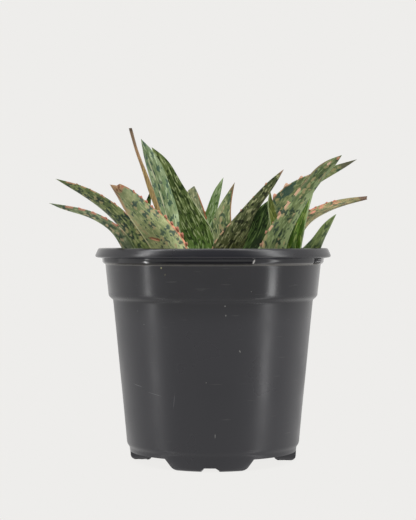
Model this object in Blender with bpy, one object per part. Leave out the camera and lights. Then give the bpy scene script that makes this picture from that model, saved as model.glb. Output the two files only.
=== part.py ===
"""Potted aloe: a clump of four small aloe rosettes in a 12 cm nursery pot.

Run with: blender --background --python part.py

Frame: metres, +Z up. The origin is on the pot's axis, in the plane that its feet stand on.
The front of the pot faces -Y, and +X is to the right of somebody who looks at the front.
All sizes below are in millimetres, and MM turns them into metres when a mesh is made.
"""
from math import cos, radians, sin

import bmesh
import bpy
import numpy as np
from mathutils import Vector

MM = 0.001
GAP = 0.3                    # clearance between pieces that touch

# ---- pot ---------------------------------------------------------------------------------
POT_HEIGHT = 108.6
WALL = 1.0                   # thickness of the moulding
LIP_RADIUS = 60.0            # widest point of the rolled lip
LIP_TOP_RADIUS = 56.4
LIP_LOW = 104.3              # height of the lip's free edge
COLLAR_TOP_RADIUS = 54.8
COLLAR_TOP = 100.2
COLLAR_LOW_RADIUS = 53.3
COLLAR_LOW = 85.4
STEP_DEPTH = 2.4             # how far the wall steps in under the collar
BODY_TOP = 82.4              # height where the tapering wall starts
BODY_LOW_RADIUS = 43.95
BODY_LOW = 10.5              # height where the wall turns in to the base
BASE_RADIUS = 42.3
BASE_Z = 5.6                 # underside of the base plate
GROOVE_DEPTH = 1.7
GROOVES = ((-80, 22), (67, 75), (100, 202), (247, 255))     # degrees round the pot
GROOVE_END = 1.5             # degrees over which a groove fades out

FEET = 3
FOOT_TURN = -1.8             # the front foot sits a little left of the front
FOOT_HALF_TOP = 32.0         # degrees, at the base plate
FOOT_HALF_LOW = 25.0         # degrees, at the ground
FOOT_INNER_RADIUS = 31.0
NOTCH_HALF = 4.0             # degrees, the drain notch in the middle of a foot
NOTCH_RISE = 2.0
SLOT_HALF = 14.0             # degrees, drain slots in the plate between the feet
SLOT_OUTER_RADIUS = 27.0
SLOT_INNER_RADIUS = 19.0
CENTRE_HOLE_RADIUS = 6.0

# ---- soil and stems ----------------------------------------------------------------------
SOIL_TOP = 92.0
STEM_ROOT_Z = 76.0
STEM_SIDES = 12

# name: (x, y, radius, height of its top)
STEMS = {
    "stem_left": (-31.0, 2.0, 5.5, 102.0),
    "stem_main": (-8.0, -3.0, 6.0, 103.0),
    "stem_pup": (0.0, 15.0, 4.5, 101.0),
    "stem_right": (33.0, 1.0, 6.0, 103.0),
}

# ---- leaves ------------------------------------------------------------------------------
LEAF_STATIONS = 11           # cross-sections along a leaf
LEAF_THICKNESS = 3.0
LEAF_CUP = 0.22              # how far the margins rise above the middle, per half width
BASE_WIDTH = 1.35            # width of a leaf's base, per radius of its stem

# Each leaf: the stem and the seat it grows from, points (x, y, z, width) along its middle, and
# the way its inner face looks. A seat is ("side", degrees round the stem, height) or
# ("top", x, y) on the stem's top. The last point is the tip, which a width above 0
# makes blunt, and end is the way a cut tip faces.
LEAVES = {
    "leaf_left_low": dict(
        stem="stem_left", seat=("side", -48, 95.0), face=(0.2, 0.45, 1.0),
        points=[(-38, -7.5, 100, 8), (-43, -12, 108.5, 9), (-47.5, -15, 116.5, 8),
                (-54, -19, 122, 6.8), (-62, -22, 126, 5.8), (-73, -24, 128.8, 4),
                (-81.3, -25, 131, 0)]),
    "leaf_left_high": dict(
        stem="stem_left", seat=("top", -32.5, 1.5), face=(0.2, 0.8, 0.8),
        points=[(-37.4, 2, 108.5, 11.5), (-44.6, 3, 120.4, 11), (-56, 4, 131, 9),
                (-69, 5, 138.9, 5.6), (-81, 5, 144.2, 0)]),
    "leaf_left_inner": dict(
        stem="stem_left", seat=("side", 155, 98.8), face=(0.1, -1.0, 0.2),
        points=[(-34, 12, 102, 5), (-35, 15, 112, 4.5), (-35, 15, 123, 3.6), (-32, 15, 139.5, 0)]),
    "leaf_left_rear": dict(
        stem="stem_left", seat=("side", -116, 95.0), face=(0.3, -0.4, 1.0),
        points=[(-38.5, 11, 98.5, 9), (-43, 20, 106, 9), (-47.5, 31, 117, 0)]),
    "leaf_left_back": dict(
        stem="stem_left", seat=("side", 175, 95.0), face=(0.1, -1.0, 0.6),
        points=[(-29.5, 15, 98, 9), (-31, 25, 105, 10), (-33, 37, 114, 7.5), (-36, 49, 121.5, 0)]),
    "leaf_left_front": dict(
        stem="stem_left", seat=("side", 22, 95.0), face=(0.0, 1.0, 0.7),
        points=[(-28.6, -10, 96.5, 9), (-30, -21, 99.5, 9), (-33, -38, 107, 0)]),
    "leaf_main_front": dict(
        stem="stem_main", seat=("side", -42, 95.0), face=(0.05, 1.0, 0.15),
        points=[(-16, -13, 99.5, 10), (-20.4, -19, 107, 16.4), (-27.4, -25, 117, 15.6),
                (-35, -32, 125.5, 12.2), (-41, -37.5, 132.5, 9.8), (-46, -42, 138.8, 7)],
        end=(-0.1, -0.5, 1.0)),
    "leaf_tall_front": dict(
        stem="stem_main", seat=("top", -11.0, -5.0), face=(0.25, 1.0, 0.1),
        points=[(-18.3, -4, 111, 9.2), (-21.8, -4, 126, 9.2), (-25.4, -4, 138, 10.2),
                (-29, -3, 148.5, 9.4), (-33.4, -2, 157.5, 5.4), (-36.8, -1, 164.3, 0)]),
    "leaf_tall_rear": dict(
        stem="stem_main", seat=("top", -6.5, 0.5), face=(0.15, -1.0, 0.25),
        points=[(-6, 4, 110, 15.5), (-11.8, 5, 122.5, 14), (-18.6, 6, 136, 10.6),
                (-24.6, 6, 148.3, 7), (-30.2, 6, 160.4, 0)]),
    "leaf_main_right": dict(
        stem="stem_main", seat=("side", 64, 98.0), face=(-0.3, 1.0, 0.5),
        points=[(3.8, -8.5, 101.5, 11.5), (8.6, -10.5, 108.5, 15.5), (12.6, -12, 116.8, 12),
                (18, -13, 126.5, 8), (24.8, -14, 135.2, 5.8), (30.2, -14, 141.7, 4.2),
                (35.6, -14, 148.3, 0)]),
    "leaf_main_inner": dict(
        stem="stem_main", seat=("side", 122, 96.5), face=(-0.4, -1.0, 0.4),
        points=[(8, 2.5, 101, 10), (16, 4, 108, 13), (21.3, 5, 116, 13.2),
                (25.3, 5, 126, 8.6), (29.5, 4, 133.7, 0)]),
    "leaf_main_low": dict(
        stem="stem_main", seat=("side", 27, 95.0), face=(0.0, 1.0, 0.8),
        points=[(-5.5, -15, 96.5, 9.5), (-3.5, -26, 99.5, 9.5), (-1, -43, 107, 0)]),
    "leaf_main_rear": dict(
        stem="stem_main", seat=("side", -140, 96.0), face=(0.2, -1.0, 0.8),
        points=[(-15.5, 8, 99.5, 9), (-18.5, 16, 110, 11.5), (-21, 28, 126, 10), (-24, 42, 144, 0)]),
    "leaf_pup_left": dict(
        stem="stem_pup", seat=("side", -100, 96.0), face=(0.4, -1.0, 0.2),
        points=[(-8, 13, 100, 6.5), (-8.5, 12.5, 110, 7.5), (-7.4, 13.5, 121.5, 9),
                (-9.6, 15, 133.5, 6.2), (-9.7, 16, 140.9, 0)]),
    "leaf_pup_centre": dict(
        stem="stem_pup", seat=("top", -0.8, 17.5), face=(0.3, -1.0, 0.2),
        points=[(-2.5, 19, 110, 7.5), (-2.8, 19, 120, 6.6), (-0.2, 19, 130, 5.4),
                (2.6, 19, 139, 3.6), (5.5, 19, 145.5, 0)]),
    "leaf_pup_right": dict(
        stem="stem_pup", seat=("side", 40, 96.5), face=(-0.2, -1.0, 0.2),
        points=[(6.0, 8.6, 101.5, 8), (5.4, 9.3, 112, 11.5), (4.6, 9.5, 122, 10.4), (6.5, 10, 130, 6.2),
                (11.3, 10, 142.7, 0)]),
    "leaf_pup_rear": dict(
        stem="stem_pup", seat=("side", -168, 95.0), face=(0.1, -0.6, 1.0),
        points=[(-3, 26, 98, 8), (-5, 36, 104.5, 8.5), (-8, 50, 116, 0)]),
    "leaf_pup_side": dict(
        stem="stem_pup", seat=("side", 120, 95.0), face=(-0.5, -0.5, 1.0),
        points=[(9, 21, 97.5, 8), (15, 28, 101.5, 9), (24, 45, 113, 0)]),
    "leaf_pup_back": dict(
        stem="stem_pup", seat=("side", 172, 98.6), face=(0.1, -1.0, 0.3),
        points=[(0, 24.5, 104, 8.5), (-3.5, 31, 114, 9), (-10, 41, 129, 0)]),
    "leaf_right_front": dict(
        stem="stem_right", seat=("side", -24, 95.5), face=(-0.05, 1.0, 0.2),
        points=[(30.5, -9.5, 100, 9.5), (29.9, -12, 107.5, 14), (34.3, -14, 118, 10.6),
                (39.3, -16, 126.5, 9.2), (46.3, -18, 137, 7.3), (54.3, -19, 147, 6),
                (64.2, -20, 155, 0)]),
    "leaf_right_across": dict(
        stem="stem_right", seat=("side", -72, 98.8), face=(0.2, 1.0, 0.8),
        points=[(21.5, -3.5, 99.3, 8), (15, -16, 100.5, 9.5), (10, -36, 107, 0)]),
    "leaf_right_tall": dict(
        stem="stem_right", seat=("top", 31.5, 4.0), face=(0.2, -1.0, 0.45),
        points=[(29, 10, 109, 10), (31, 14.5, 121, 11.5), (37.5, 16, 132.7, 11.2),
                (45.5, 17, 139.5, 8.4), (55, 18, 145.4, 5.8), (67, 19, 151, 3.4),
                (75.3, 19, 154.9, 0)]),
    "leaf_right_centre": dict(
        stem="stem_right", seat=("top", 32.5, -1.5), face=(0.2, -1.0, 0.1),
        points=[(31.5, -1, 112, 4.6), (31, -1, 122, 4.1), (30, -1, 130, 3.4), (30.3, -1, 138.4, 0)]),
    "leaf_right_side": dict(
        stem="stem_right", seat=("side", 100, 101.0), face=(-1.0, -0.7, 0.3),
        points=[(42, 3, 103.5, 7), (43.3, 4, 112, 7.3), (46, 4, 124, 6.4), (52, 4, 140, 0)]),
    "leaf_right_recurved": dict(
        stem="stem_right", seat=("side", 130, 95.5), face=(-0.1, -0.4, 1.0),
        points=[(42, 11, 100, 7), (43.5, 14, 111, 7.6), (49.8, 18.5, 123.3, 8.2),
                (59.5, 25, 129.2, 6.6), (70, 30, 132.7, 4.9), (81.3, 32, 135, 1.8)]),
    "leaf_right_short": dict(
        stem="stem_right", seat=("side", 80, 97.8), face=(-0.3, 1.0, 0.5),
        points=[(45, -3.5, 100, 7.5), (50.3, -4, 107.5, 8.4), (53.7, -5, 114, 6.2), (57.6, -6, 120, 4.5),
                (62.5, -7, 126, 0)]),
    "leaf_right_low": dict(
        stem="stem_right", seat=("side", 40, 95.0), face=(-0.2, 1.0, 0.8),
        points=[(38.5, -9, 96.5, 9), (42, -18, 100, 8.5), (43.5, -31, 107, 0)]),
    "leaf_right_back": dict(
        stem="stem_right", seat=("side", 172, 98.8), face=(-0.1, -1.0, 0.5),
        points=[(33.5, 15, 103, 9), (38.5, 25, 113, 11), (43.5, 35, 124, 9), (47, 45, 137, 0)]),
    "leaf_right_inner": dict(
        stem="stem_right", seat=("side", -98, 95.0), face=(0.4, -1.0, 0.6),
        points=[(23.5, 9, 98.5, 9), (21.5, 21, 107, 10), (20, 33, 116.5, 8.5), (17, 46, 127, 0)]),
    "leaf_right_rear": dict(
        stem="stem_right", seat=("side", 194, 95.0), face=(-0.1, -0.6, 1.0),
        points=[(31.5, 14, 97, 9.5), (32, 26, 101, 10), (31.5, 38, 107, 7), (31, 47, 113, 0)]),
}

# Dry flower stalk: seat on the main stem, then points (x, y, z, thickness).
STALK_SEAT = ("side", -75, 98.5)
STALK_SIDES = 6
STALK_STATIONS = 14
STALK_POINTS = [(-17.5, -7.5, 101, 2.0), (-21.5, -9.3, 110, 1.9), (-28.5, -10, 130, 1.8),
                (-32, -9, 139.5, 2.1), (-34.5, -8.5, 147, 1.5), (-38.4, -7.5, 157, 1.2),
                (-41.7, -6.5, 169, 1.1)]


def clear_scene():
    for item in list(bpy.data.objects):
        bpy.data.objects.remove(item, do_unlink=True)


def material(name, rgb, roughness):
    made = bpy.data.materials.new(name)
    made.use_nodes = True
    shader = made.node_tree.nodes["Principled BSDF"]
    shader.inputs["Base Color"].default_value = (*rgb, 1.0)
    shader.inputs["Roughness"].default_value = roughness
    shader.inputs["Metallic"].default_value = 0.0
    return made


def add_object(name, bm, finish, sharp_degrees=40):
    """Turn a bmesh in millimetres into a named object in metres."""
    bmesh.ops.recalc_face_normals(bm, faces=bm.faces)
    bmesh.ops.scale(bm, vec=(MM, MM, MM), verts=bm.verts)
    mesh = bpy.data.meshes.new(name)
    bm.to_mesh(mesh)
    bm.free()
    mesh.shade_smooth()
    mesh.set_sharp_from_angle(angle=radians(sharp_degrees))
    mesh.materials.append(finish)
    made = bpy.data.objects.new(name, mesh)
    bpy.context.collection.objects.link(made)
    return made


def around(radius, degrees, height):
    """A point at a direction round the pot: 0 is the front, and 90 is the right."""
    return Vector((radius * sin(radians(degrees)), -radius * cos(radians(degrees)), height))


def mix(a, b, t):
    return a + (b - a) * t


# ---- pot ---------------------------------------------------------------------------------
def groove_share(degrees):
    """1 inside a groove under the lip, 0 where the neck stands out, and between at its ends."""
    share = 0.0
    for start, end in GROOVES:
        for turn in (-360, 0, 360):
            inside = min(degrees + turn - start, end - degrees - turn)
            share = max(share, min(1.0, inside / GROOVE_END))
    return max(0.0, share)


def foot_share(degrees):
    """1 where a foot reaches the ground, 0 between the feet, and less in the drain notch."""
    pitch = 360 / FEET
    offset = abs((degrees - FOOT_TURN + pitch / 2) % pitch - pitch / 2)
    slope = (FOOT_HALF_TOP - offset) / (FOOT_HALF_TOP - FOOT_HALF_LOW)
    notch = NOTCH_RISE / BASE_Z * min(1.0, max(0.0, (NOTCH_HALF + 2 - offset) / 2))
    return min(1.0, max(0.0, slope)) - notch


def pot_directions():
    """Directions round the pot that catch every foot, notch, slot and groove end."""
    foot = (0, NOTCH_HALF, NOTCH_HALF + 2, 12, 18.5, FOOT_HALF_LOW, FOOT_HALF_TOP, 39,
            60 - SLOT_HALF, 60 - SLOT_HALF / 2, 60)
    found = {round((FOOT_TURN + pitch * 120 + side * step) % 360, 3)
             for pitch in range(FEET) for step in foot for side in (-1, 1)}
    ends = {edge % 360 for start, end in GROOVES
            for edge in (start, start + GROOVE_END, end - GROOVE_END, end)}
    kept = {angle for angle in found
            if all(abs((angle - edge + 180) % 360 - 180) > 0.9 for edge in ends)}
    return sorted(kept | ends)


def outer_profile(degrees):
    """Outer side of the moulding, from the lip's top to the centre hole, as (radius, height)."""
    groove = GROOVE_DEPTH * groove_share(degrees)
    foot = foot_share(degrees)
    body_top_radius = COLLAR_LOW_RADIUS - STEP_DEPTH
    return [
        (LIP_TOP_RADIUS, POT_HEIGHT),
        (LIP_RADIUS - 2.6, POT_HEIGHT - 0.3),
        (LIP_RADIUS - 1.2, POT_HEIGHT - 1.0),
        (LIP_RADIUS - 0.2, POT_HEIGHT - 2.2),
        (LIP_RADIUS, LIP_LOW + 0.8),
        (LIP_RADIUS - 0.3, LIP_LOW),
        (LIP_RADIUS - 1.0, LIP_LOW + 0.4),
        (LIP_TOP_RADIUS + 1.0, LIP_LOW + 2.2),
        (COLLAR_TOP_RADIUS + 2.0 - 0.4 * groove, LIP_LOW - 0.2),
        (COLLAR_TOP_RADIUS + 1.5 - groove, COLLAR_TOP + 2.4),
        (COLLAR_TOP_RADIUS + 0.6 - groove, COLLAR_TOP + 0.5),
        (COLLAR_TOP_RADIUS - 0.1, COLLAR_TOP),
        (COLLAR_TOP_RADIUS, COLLAR_TOP - 0.8),
        (COLLAR_LOW_RADIUS, COLLAR_LOW),
        (mix(COLLAR_LOW_RADIUS, body_top_radius, 0.35), COLLAR_LOW - 1.2),
        (mix(COLLAR_LOW_RADIUS, body_top_radius, 0.88), COLLAR_LOW - 2.1),
        (body_top_radius, BODY_TOP),
        (BODY_LOW_RADIUS, BODY_LOW),
        (BODY_LOW_RADIUS - 0.5, BODY_LOW - 2.0),
        (BASE_RADIUS + 0.1, BASE_Z + 1.5),
        (mix(BASE_RADIUS - 0.6, BASE_RADIUS - 0.3, foot), mix(BASE_Z + 0.2, 0.7, foot)),
        (mix(BASE_RADIUS - 1.6, BASE_RADIUS - 0.9, foot), mix(BASE_Z, 0.0, foot)),
        (mix(FOOT_INNER_RADIUS + 2, FOOT_INNER_RADIUS + 1.5, foot), mix(BASE_Z, 0.0, foot)),
        (mix(FOOT_INNER_RADIUS + 1, FOOT_INNER_RADIUS + 0.5, foot), mix(BASE_Z, 0.7, foot)),
        (FOOT_INNER_RADIUS, BASE_Z),
        (SLOT_OUTER_RADIUS, BASE_Z),
        (SLOT_INNER_RADIUS, BASE_Z),
        (CENTRE_HOLE_RADIUS, BASE_Z),
    ]


def inner_profile(degrees):
    """Inner side of the moulding, from the centre hole up to the lip's top."""
    groove = GROOVE_DEPTH * groove_share(degrees)
    foot = foot_share(degrees)
    floor = BASE_Z + WALL
    body_top_radius = COLLAR_LOW_RADIUS - STEP_DEPTH
    return [
        (CENTRE_HOLE_RADIUS, floor),
        (SLOT_INNER_RADIUS, floor),
        (SLOT_OUTER_RADIUS, floor),
        (FOOT_INNER_RADIUS + WALL, floor),
        (mix(FOOT_INNER_RADIUS + 2, FOOT_INNER_RADIUS + 1.5 + WALL, foot), mix(floor, WALL, foot)),
        (mix(BASE_RADIUS - 2.6, BASE_RADIUS - 1.2 - WALL, foot), mix(floor, WALL, foot)),
        (BASE_RADIUS + 0.1 - WALL, floor + 1.1),
        (BODY_LOW_RADIUS - 0.6 - WALL, BODY_LOW - 1.4),
        (BODY_LOW_RADIUS - WALL, BODY_LOW),
        (body_top_radius - WALL, BODY_TOP + 0.4),
        (mix(COLLAR_LOW_RADIUS, body_top_radius, 0.5) - WALL, COLLAR_LOW - 0.8),
        (COLLAR_LOW_RADIUS - WALL, COLLAR_LOW + 0.8),
        (COLLAR_TOP_RADIUS - WALL - 0.1, COLLAR_TOP - 1.6),
        (COLLAR_TOP_RADIUS + 0.6 - WALL - 0.9 * groove, COLLAR_TOP + 0.6),
        (COLLAR_TOP_RADIUS + 1.3 - WALL - 0.6 * groove, COLLAR_TOP + 3.4),
        (LIP_TOP_RADIUS - WALL, LIP_LOW + 1.6),
        (LIP_TOP_RADIUS - WALL + 0.2, POT_HEIGHT - 0.5),
    ]


def add_pot():
    directions = pot_directions()
    bm = bmesh.new()
    columns = []
    for angle in directions:
        profile = outer_profile(angle) + inner_profile(angle)
        columns.append([bm.verts.new(around(radius, angle, height)) for radius, height in profile])
    rows = len(columns[0])
    outer_rows = len(outer_profile(0))
    slot_low = outer_rows - 3            # outer skin, from the slots' outer edge inwards
    slot_top = outer_rows + 1            # inner skin, from the slots' inner edge outwards
    pitch = 360 / FEET
    for index, column in enumerate(columns):
        beside = columns[(index + 1) % len(columns)]
        step = (directions[(index + 1) % len(columns)] - directions[index]) % 360
        from_slot = (directions[index] + step / 2 - FOOT_TURN) % pitch - pitch / 2
        in_slot = abs(from_slot) < SLOT_HALF
        for row in range(rows):
            if in_slot and row in (slot_low, slot_top):
                continue
            over = (row + 1) % rows
            bm.faces.new((column[row], column[over], beside[over], beside[row]))
        if in_slot:
            low, high = slot_low, slot_top + 1
            bm.faces.new((column[low], beside[low], beside[high], column[high]))
            bm.faces.new((beside[low + 1], column[low + 1], column[high - 1], beside[high - 1]))
            at_slot_end = abs(from_slot) + step / 2 > SLOT_HALF - 0.1
            if at_slot_end:
                side = column if from_slot < 0 else beside
                bm.faces.new((side[low], side[high], side[high - 1], side[low + 1]))
    add_object("pot", bm, material("pot_plastic", (0.045, 0.045, 0.048), 0.5))


# ---- soil and stems ----------------------------------------------------------------------
def turned_solid(profile, sides, x=0.0, y=0.0):
    """Closed solid of revolution: profile runs from its lowest point on the axis to its highest."""
    bm = bmesh.new()
    low = bm.verts.new((x, y, profile[0][1]))
    top = bm.verts.new((x, y, profile[-1][1]))
    rings = []
    for radius, height in profile[1:-1]:
        ring = [bm.verts.new(around(radius, 360 * step / sides, height) + Vector((x, y, 0)))
                for step in range(sides)]
        rings.append(ring)
    for step in range(sides):
        after = (step + 1) % sides
        bm.faces.new((low, rings[0][after], rings[0][step]))
        bm.faces.new((top, rings[-1][step], rings[-1][after]))
        for lower, upper in zip(rings, rings[1:]):
            bm.faces.new((lower[step], lower[after], upper[after], upper[step]))
    return bm


def add_soil(finish):
    inside_top = COLLAR_LOW_RADIUS - WALL + (COLLAR_TOP_RADIUS - COLLAR_LOW_RADIUS) * 0.4 - GAP - 0.2
    floor = BASE_Z + WALL + GAP
    profile = [(0, floor),
               (BASE_RADIUS - WALL - 2.8, floor),
               (BODY_LOW_RADIUS - WALL - GAP - 0.8, BODY_LOW + 0.5),
               (COLLAR_LOW_RADIUS - STEP_DEPTH - WALL - GAP - 0.5, BODY_TOP - 0.5),
               (COLLAR_LOW_RADIUS - WALL - GAP - 0.3, COLLAR_LOW + 1.5),
               (inside_top, SOIL_TOP - 0.8),
               (inside_top - 1.0, SOIL_TOP),
               (0, SOIL_TOP)]
    soil = add_object("soil", turned_solid(profile, 48), finish)
    for name, (x, y, radius, _top) in STEMS.items():
        hole = [(0, STEM_ROOT_Z - GAP), (radius + GAP, STEM_ROOT_Z - GAP),
                (radius + GAP, SOIL_TOP + 5), (0, SOIL_TOP + 5)]
        cutter = add_object("hole_for_" + name, turned_solid(hole, STEM_SIDES, x, y), finish)
        cutter.hide_render = True
        cutter.display_type = "WIRE"
        cut = soil.modifiers.new(cutter.name, "BOOLEAN")
        cut.object = cutter
        cut.operation = "DIFFERENCE"
        cut.solver = "EXACT"


def add_stem(name, finish):
    x, y, radius, top = STEMS[name]
    profile = [(0, STEM_ROOT_Z), (radius - 1.5, STEM_ROOT_Z), (radius, STEM_ROOT_Z + 3),
               (radius, top - 0.6), (radius - 0.6, top), (0, top)]
    add_object(name, turned_solid(profile, STEM_SIDES, x, y), finish)


# ---- leaves ------------------------------------------------------------------------------
def smooth_path(points, stations):
    """Smooth curve through points, each any number of values, at evenly spaced places."""
    points = np.array(points, dtype=float)
    run = np.concatenate([[0], np.cumsum(np.linalg.norm(np.diff(points[:, :3], axis=0), axis=1))])
    slopes = np.gradient(points, run, axis=0)
    placed = []
    for place in np.linspace(0, run[-1], stations):
        index = min(np.searchsorted(run, place, side="right") - 1, len(run) - 2)
        length = run[index + 1] - run[index]
        t = (place - run[index]) / length
        lead_out = (t**3 - 2 * t**2 + t) * length * slopes[index]
        lead_in = (t**3 - t**2) * length * slopes[index + 1]
        share = 3 * t**2 - 2 * t**3
        placed.append(mix(points[index], points[index + 1], share) + lead_out + lead_in)
    return placed


def seat_on_stem(stem, seat, clearance):
    """Where a leaf or stalk starts, the way it leaves the stem, and its base's inner side."""
    x, y, radius, top = STEMS[stem]
    if seat[0] == "top":
        return Vector((seat[1], seat[2], top + clearance)), Vector((0, 0, 1))
    out = around(1, seat[1], 0)
    return Vector((x, y, seat[2])) + out * (radius + clearance), out


def leaf_section(width, thickness):
    """Outline across a leaf as (across, towards the inner face): a shallow channel."""
    half = width / 2
    outline = []
    for across, share in ((1, 0), (0.6, 0.28), (0, 0.28), (-0.6, 0.28),
                          (-1, 0), (-0.6, -0.72), (0, -0.72), (0.6, -0.72)):
        raised = LEAF_CUP * half * (across**2 - 0.35)
        outline.append((across * half, raised + share * thickness * (1 - across**2)))
    return outline


def add_leaf(name, stem, seat, points, face, finish, end=None):
    start, leave = seat_on_stem(stem, seat, GAP)
    lead = start + leave * 1.5
    base_width = BASE_WIDTH * STEMS[stem][2]
    path = [(*start, base_width), (*lead, base_width), *points]
    placed = smooth_path(path, LEAF_STATIONS + 1)
    centres = [Vector(row[:3]) for row in placed]
    inner = Vector(face).normalized()
    base_inner = inner if seat[0] == "top" else Vector((0, 0, 1))
    bm = bmesh.new()
    rings = []
    blunt = points[-1][3] > 0
    last = LEAF_STATIONS + 1 if blunt else LEAF_STATIONS
    for index in range(last):
        if index == 0:
            along = leave
        else:
            ahead = centres[min(index + 1, LEAF_STATIONS)]
            along = (ahead - centres[index - 1]).normalized()
        if end and index == LEAF_STATIONS:
            along = Vector(end).normalized()
        turn = min(1.0, index / (LEAF_STATIONS * 0.35))
        up = base_inner.lerp(inner, turn)
        up = (up - along * up.dot(along)).normalized()
        across = along.cross(up)
        width = max(placed[index][3], 0.8)
        thickness = LEAF_THICKNESS * min(1.0, 0.35 + width / 12)
        rings.append([bm.verts.new(centres[index] + across * u + up * v)
                      for u, v in leaf_section(width, thickness)])
    close_rings(bm, rings, None if blunt else centres[-1])
    add_object(name, bm, finish)


def close_rings(bm, rings, tip):
    """Skin a row of rings and close both ends, the far one at a tip point or with a flat cap."""
    count = len(rings[0])
    for lower, upper in zip(rings, rings[1:]):
        for step in range(count):
            after = (step + 1) % count
            bm.faces.new((lower[step], lower[after], upper[after], upper[step]))
    foot = bm.verts.new(sum((vert.co for vert in rings[0]), Vector()) / count)
    tip_point = tip if tip is not None else sum((vert.co for vert in rings[-1]), Vector()) / count
    end = bm.verts.new(tip_point)
    for step in range(count):
        after = (step + 1) % count
        bm.faces.new((foot, rings[0][after], rings[0][step]))
        bm.faces.new((end, rings[-1][step], rings[-1][after]))


def add_stalk(finish):
    start, leave = seat_on_stem("stem_main", STALK_SEAT, GAP)
    path = [(*start, 2.2), (*(start + leave * 1.5), 2.1), *STALK_POINTS]
    placed = smooth_path(path, STALK_STATIONS)
    centres = [Vector(row[:3]) for row in placed]
    bm = bmesh.new()
    rings = []
    for index, centre in enumerate(centres):
        ahead = centres[min(index + 1, len(centres) - 1)]
        behind = centres[max(index - 1, 0)]
        along = leave if index == 0 else (ahead - behind).normalized()
        side = along.cross(Vector((0, 1, 0))).normalized()
        front = along.cross(side)
        radius = placed[index][3] / 2
        rings.append([bm.verts.new(centre + (side * cos(turn) + front * sin(turn)) * radius)
                      for turn in (radians(360 * step / STALK_SIDES) for step in range(STALK_SIDES))])
    close_rings(bm, rings, None)
    add_object("flower_stalk", bm, finish)


def build():
    clear_scene()
    add_pot()
    add_soil(material("potting_soil", (0.05, 0.035, 0.025), 0.95))
    stem_finish = material("aloe_stem", (0.30, 0.27, 0.14), 0.7)
    for name in STEMS:
        add_stem(name, stem_finish)
    leaf_finish = material("aloe_leaf", (0.14, 0.21, 0.09), 0.45)
    for name, parts in LEAVES.items():
        add_leaf(name, finish=leaf_finish, **parts)
    add_stalk(material("dry_stalk", (0.30, 0.19, 0.09), 0.8))


build()
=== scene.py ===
# %% [markdown]
# # A potted aloe
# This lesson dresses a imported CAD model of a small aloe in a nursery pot. The plant is a clump of
# four rosettes of spotted, fleshy leaves, with a dry flower stalk. The CAD nodes give every size
# and place, so nothing here is fitted: each piece is built where its node is, and stands for it.
# All lengths are written in millimetres and multiplied by MM.

# %% Load the frame
from math import atan2, cos, degrees, pi, radians, sin
from random import Random

import bmesh
import bpy
from mathutils import Matrix, Vector


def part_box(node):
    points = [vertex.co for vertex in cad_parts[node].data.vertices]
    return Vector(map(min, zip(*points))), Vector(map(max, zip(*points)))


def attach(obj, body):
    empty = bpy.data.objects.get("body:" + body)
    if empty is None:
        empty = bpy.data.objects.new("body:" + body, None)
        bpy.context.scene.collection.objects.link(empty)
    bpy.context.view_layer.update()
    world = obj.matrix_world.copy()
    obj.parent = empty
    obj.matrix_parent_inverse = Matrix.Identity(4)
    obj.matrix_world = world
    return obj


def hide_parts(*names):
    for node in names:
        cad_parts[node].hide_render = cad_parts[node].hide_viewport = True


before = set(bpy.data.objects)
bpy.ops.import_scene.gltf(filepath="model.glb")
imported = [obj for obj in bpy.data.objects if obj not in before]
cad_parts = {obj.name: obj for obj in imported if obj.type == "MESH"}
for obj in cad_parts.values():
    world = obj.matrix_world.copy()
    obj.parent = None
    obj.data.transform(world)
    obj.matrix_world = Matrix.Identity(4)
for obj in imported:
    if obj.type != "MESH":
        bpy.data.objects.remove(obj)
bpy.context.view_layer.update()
MM = 0.001
print("CAD nodes:", len(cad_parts))

# %% [markdown]
# ## Small tools
# Colours are picked as sRGB hex values, as in any paint program, but shaders add light in linear
# values, so one function turns the first into the second. Another adds a node with its settings
# and links in one line, so that a material reads from top to bottom like a recipe. A material is
# built up in layers: each layer is a colour that is painted over the ones before it, where some
# pattern or place lets it show.

# %% Colour and node tools
SOFT = {"interpolation_type": "SMOOTHSTEP"}


def linear(hex_colour):
    """Linear red, green, blue and alpha of an sRGB hex colour such as "#3C5A2B"."""
    shares = [int(hex_colour[place:place + 2], 16) / 255 for place in (1, 3, 5)]
    return (*[s / 12.92 if s <= 0.04045 else ((s + 0.055) / 1.055) ** 2.4 for s in shares], 1.0)


def plug(tree, socket, value):
    """Fill a socket with a number, a hex colour or another node's output."""
    if isinstance(value, bpy.types.NodeSocket):
        tree.links.new(value, socket)
    else:
        socket.default_value = linear(value) if isinstance(value, str) else value


def add_node(tree, kind, inputs=None, **settings):
    """Add a shader node with its settings, plug in its inputs and give its outputs."""
    made = tree.nodes.new("ShaderNode" + kind)
    for name, value in settings.items():
        setattr(made, name, value)
    for socket, value in (inputs or {}).items():
        plug(tree, made.inputs[socket], value)
    return made.outputs


def graded(tree, *parts):
    """The product of its parts, each a number, an output or a soft step.

    A soft step is an output and the two levels between which the step rises from 0 to 1. Two
    more numbers, if given, stand for that 0 and 1."""
    shares = [add_node(tree, "MapRange", dict(enumerate(part)), **SOFT)[0]
              if isinstance(part, tuple) else part for part in parts]
    product = shares[0]
    for share in shares[1:]:
        product = add_node(tree, "Math", {0: product, 1: share}, operation="MULTIPLY")[0]
    return product


def paint(tree, under, over, *parts):
    """Lay one colour over another, as far as the product of the parts lets it show."""
    share = graded(tree, *parts)
    return add_node(tree, "Mix", {0: share, 6: under, 7: over}, data_type="RGBA")[2]


def ragged_spot(tree, place, middle, turned, half_sizes, ragged, how_ragged):
    """How far a place is from a spot's middle: 1 is the rim of its ellipse. A noise roughens it."""
    near = add_node(tree, "Mapping", {"Vector": place, "Location": middle, "Rotation": turned,
                                      "Scale": half_sizes}, vector_type="TEXTURE")[0]
    far = add_node(tree, "VectorMath", {0: near}, operation="LENGTH")["Value"]
    return add_node(tree, "Math", {0: ragged, 1: how_ragged, 2: far}, operation="MULTIPLY_ADD")[0]


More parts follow.
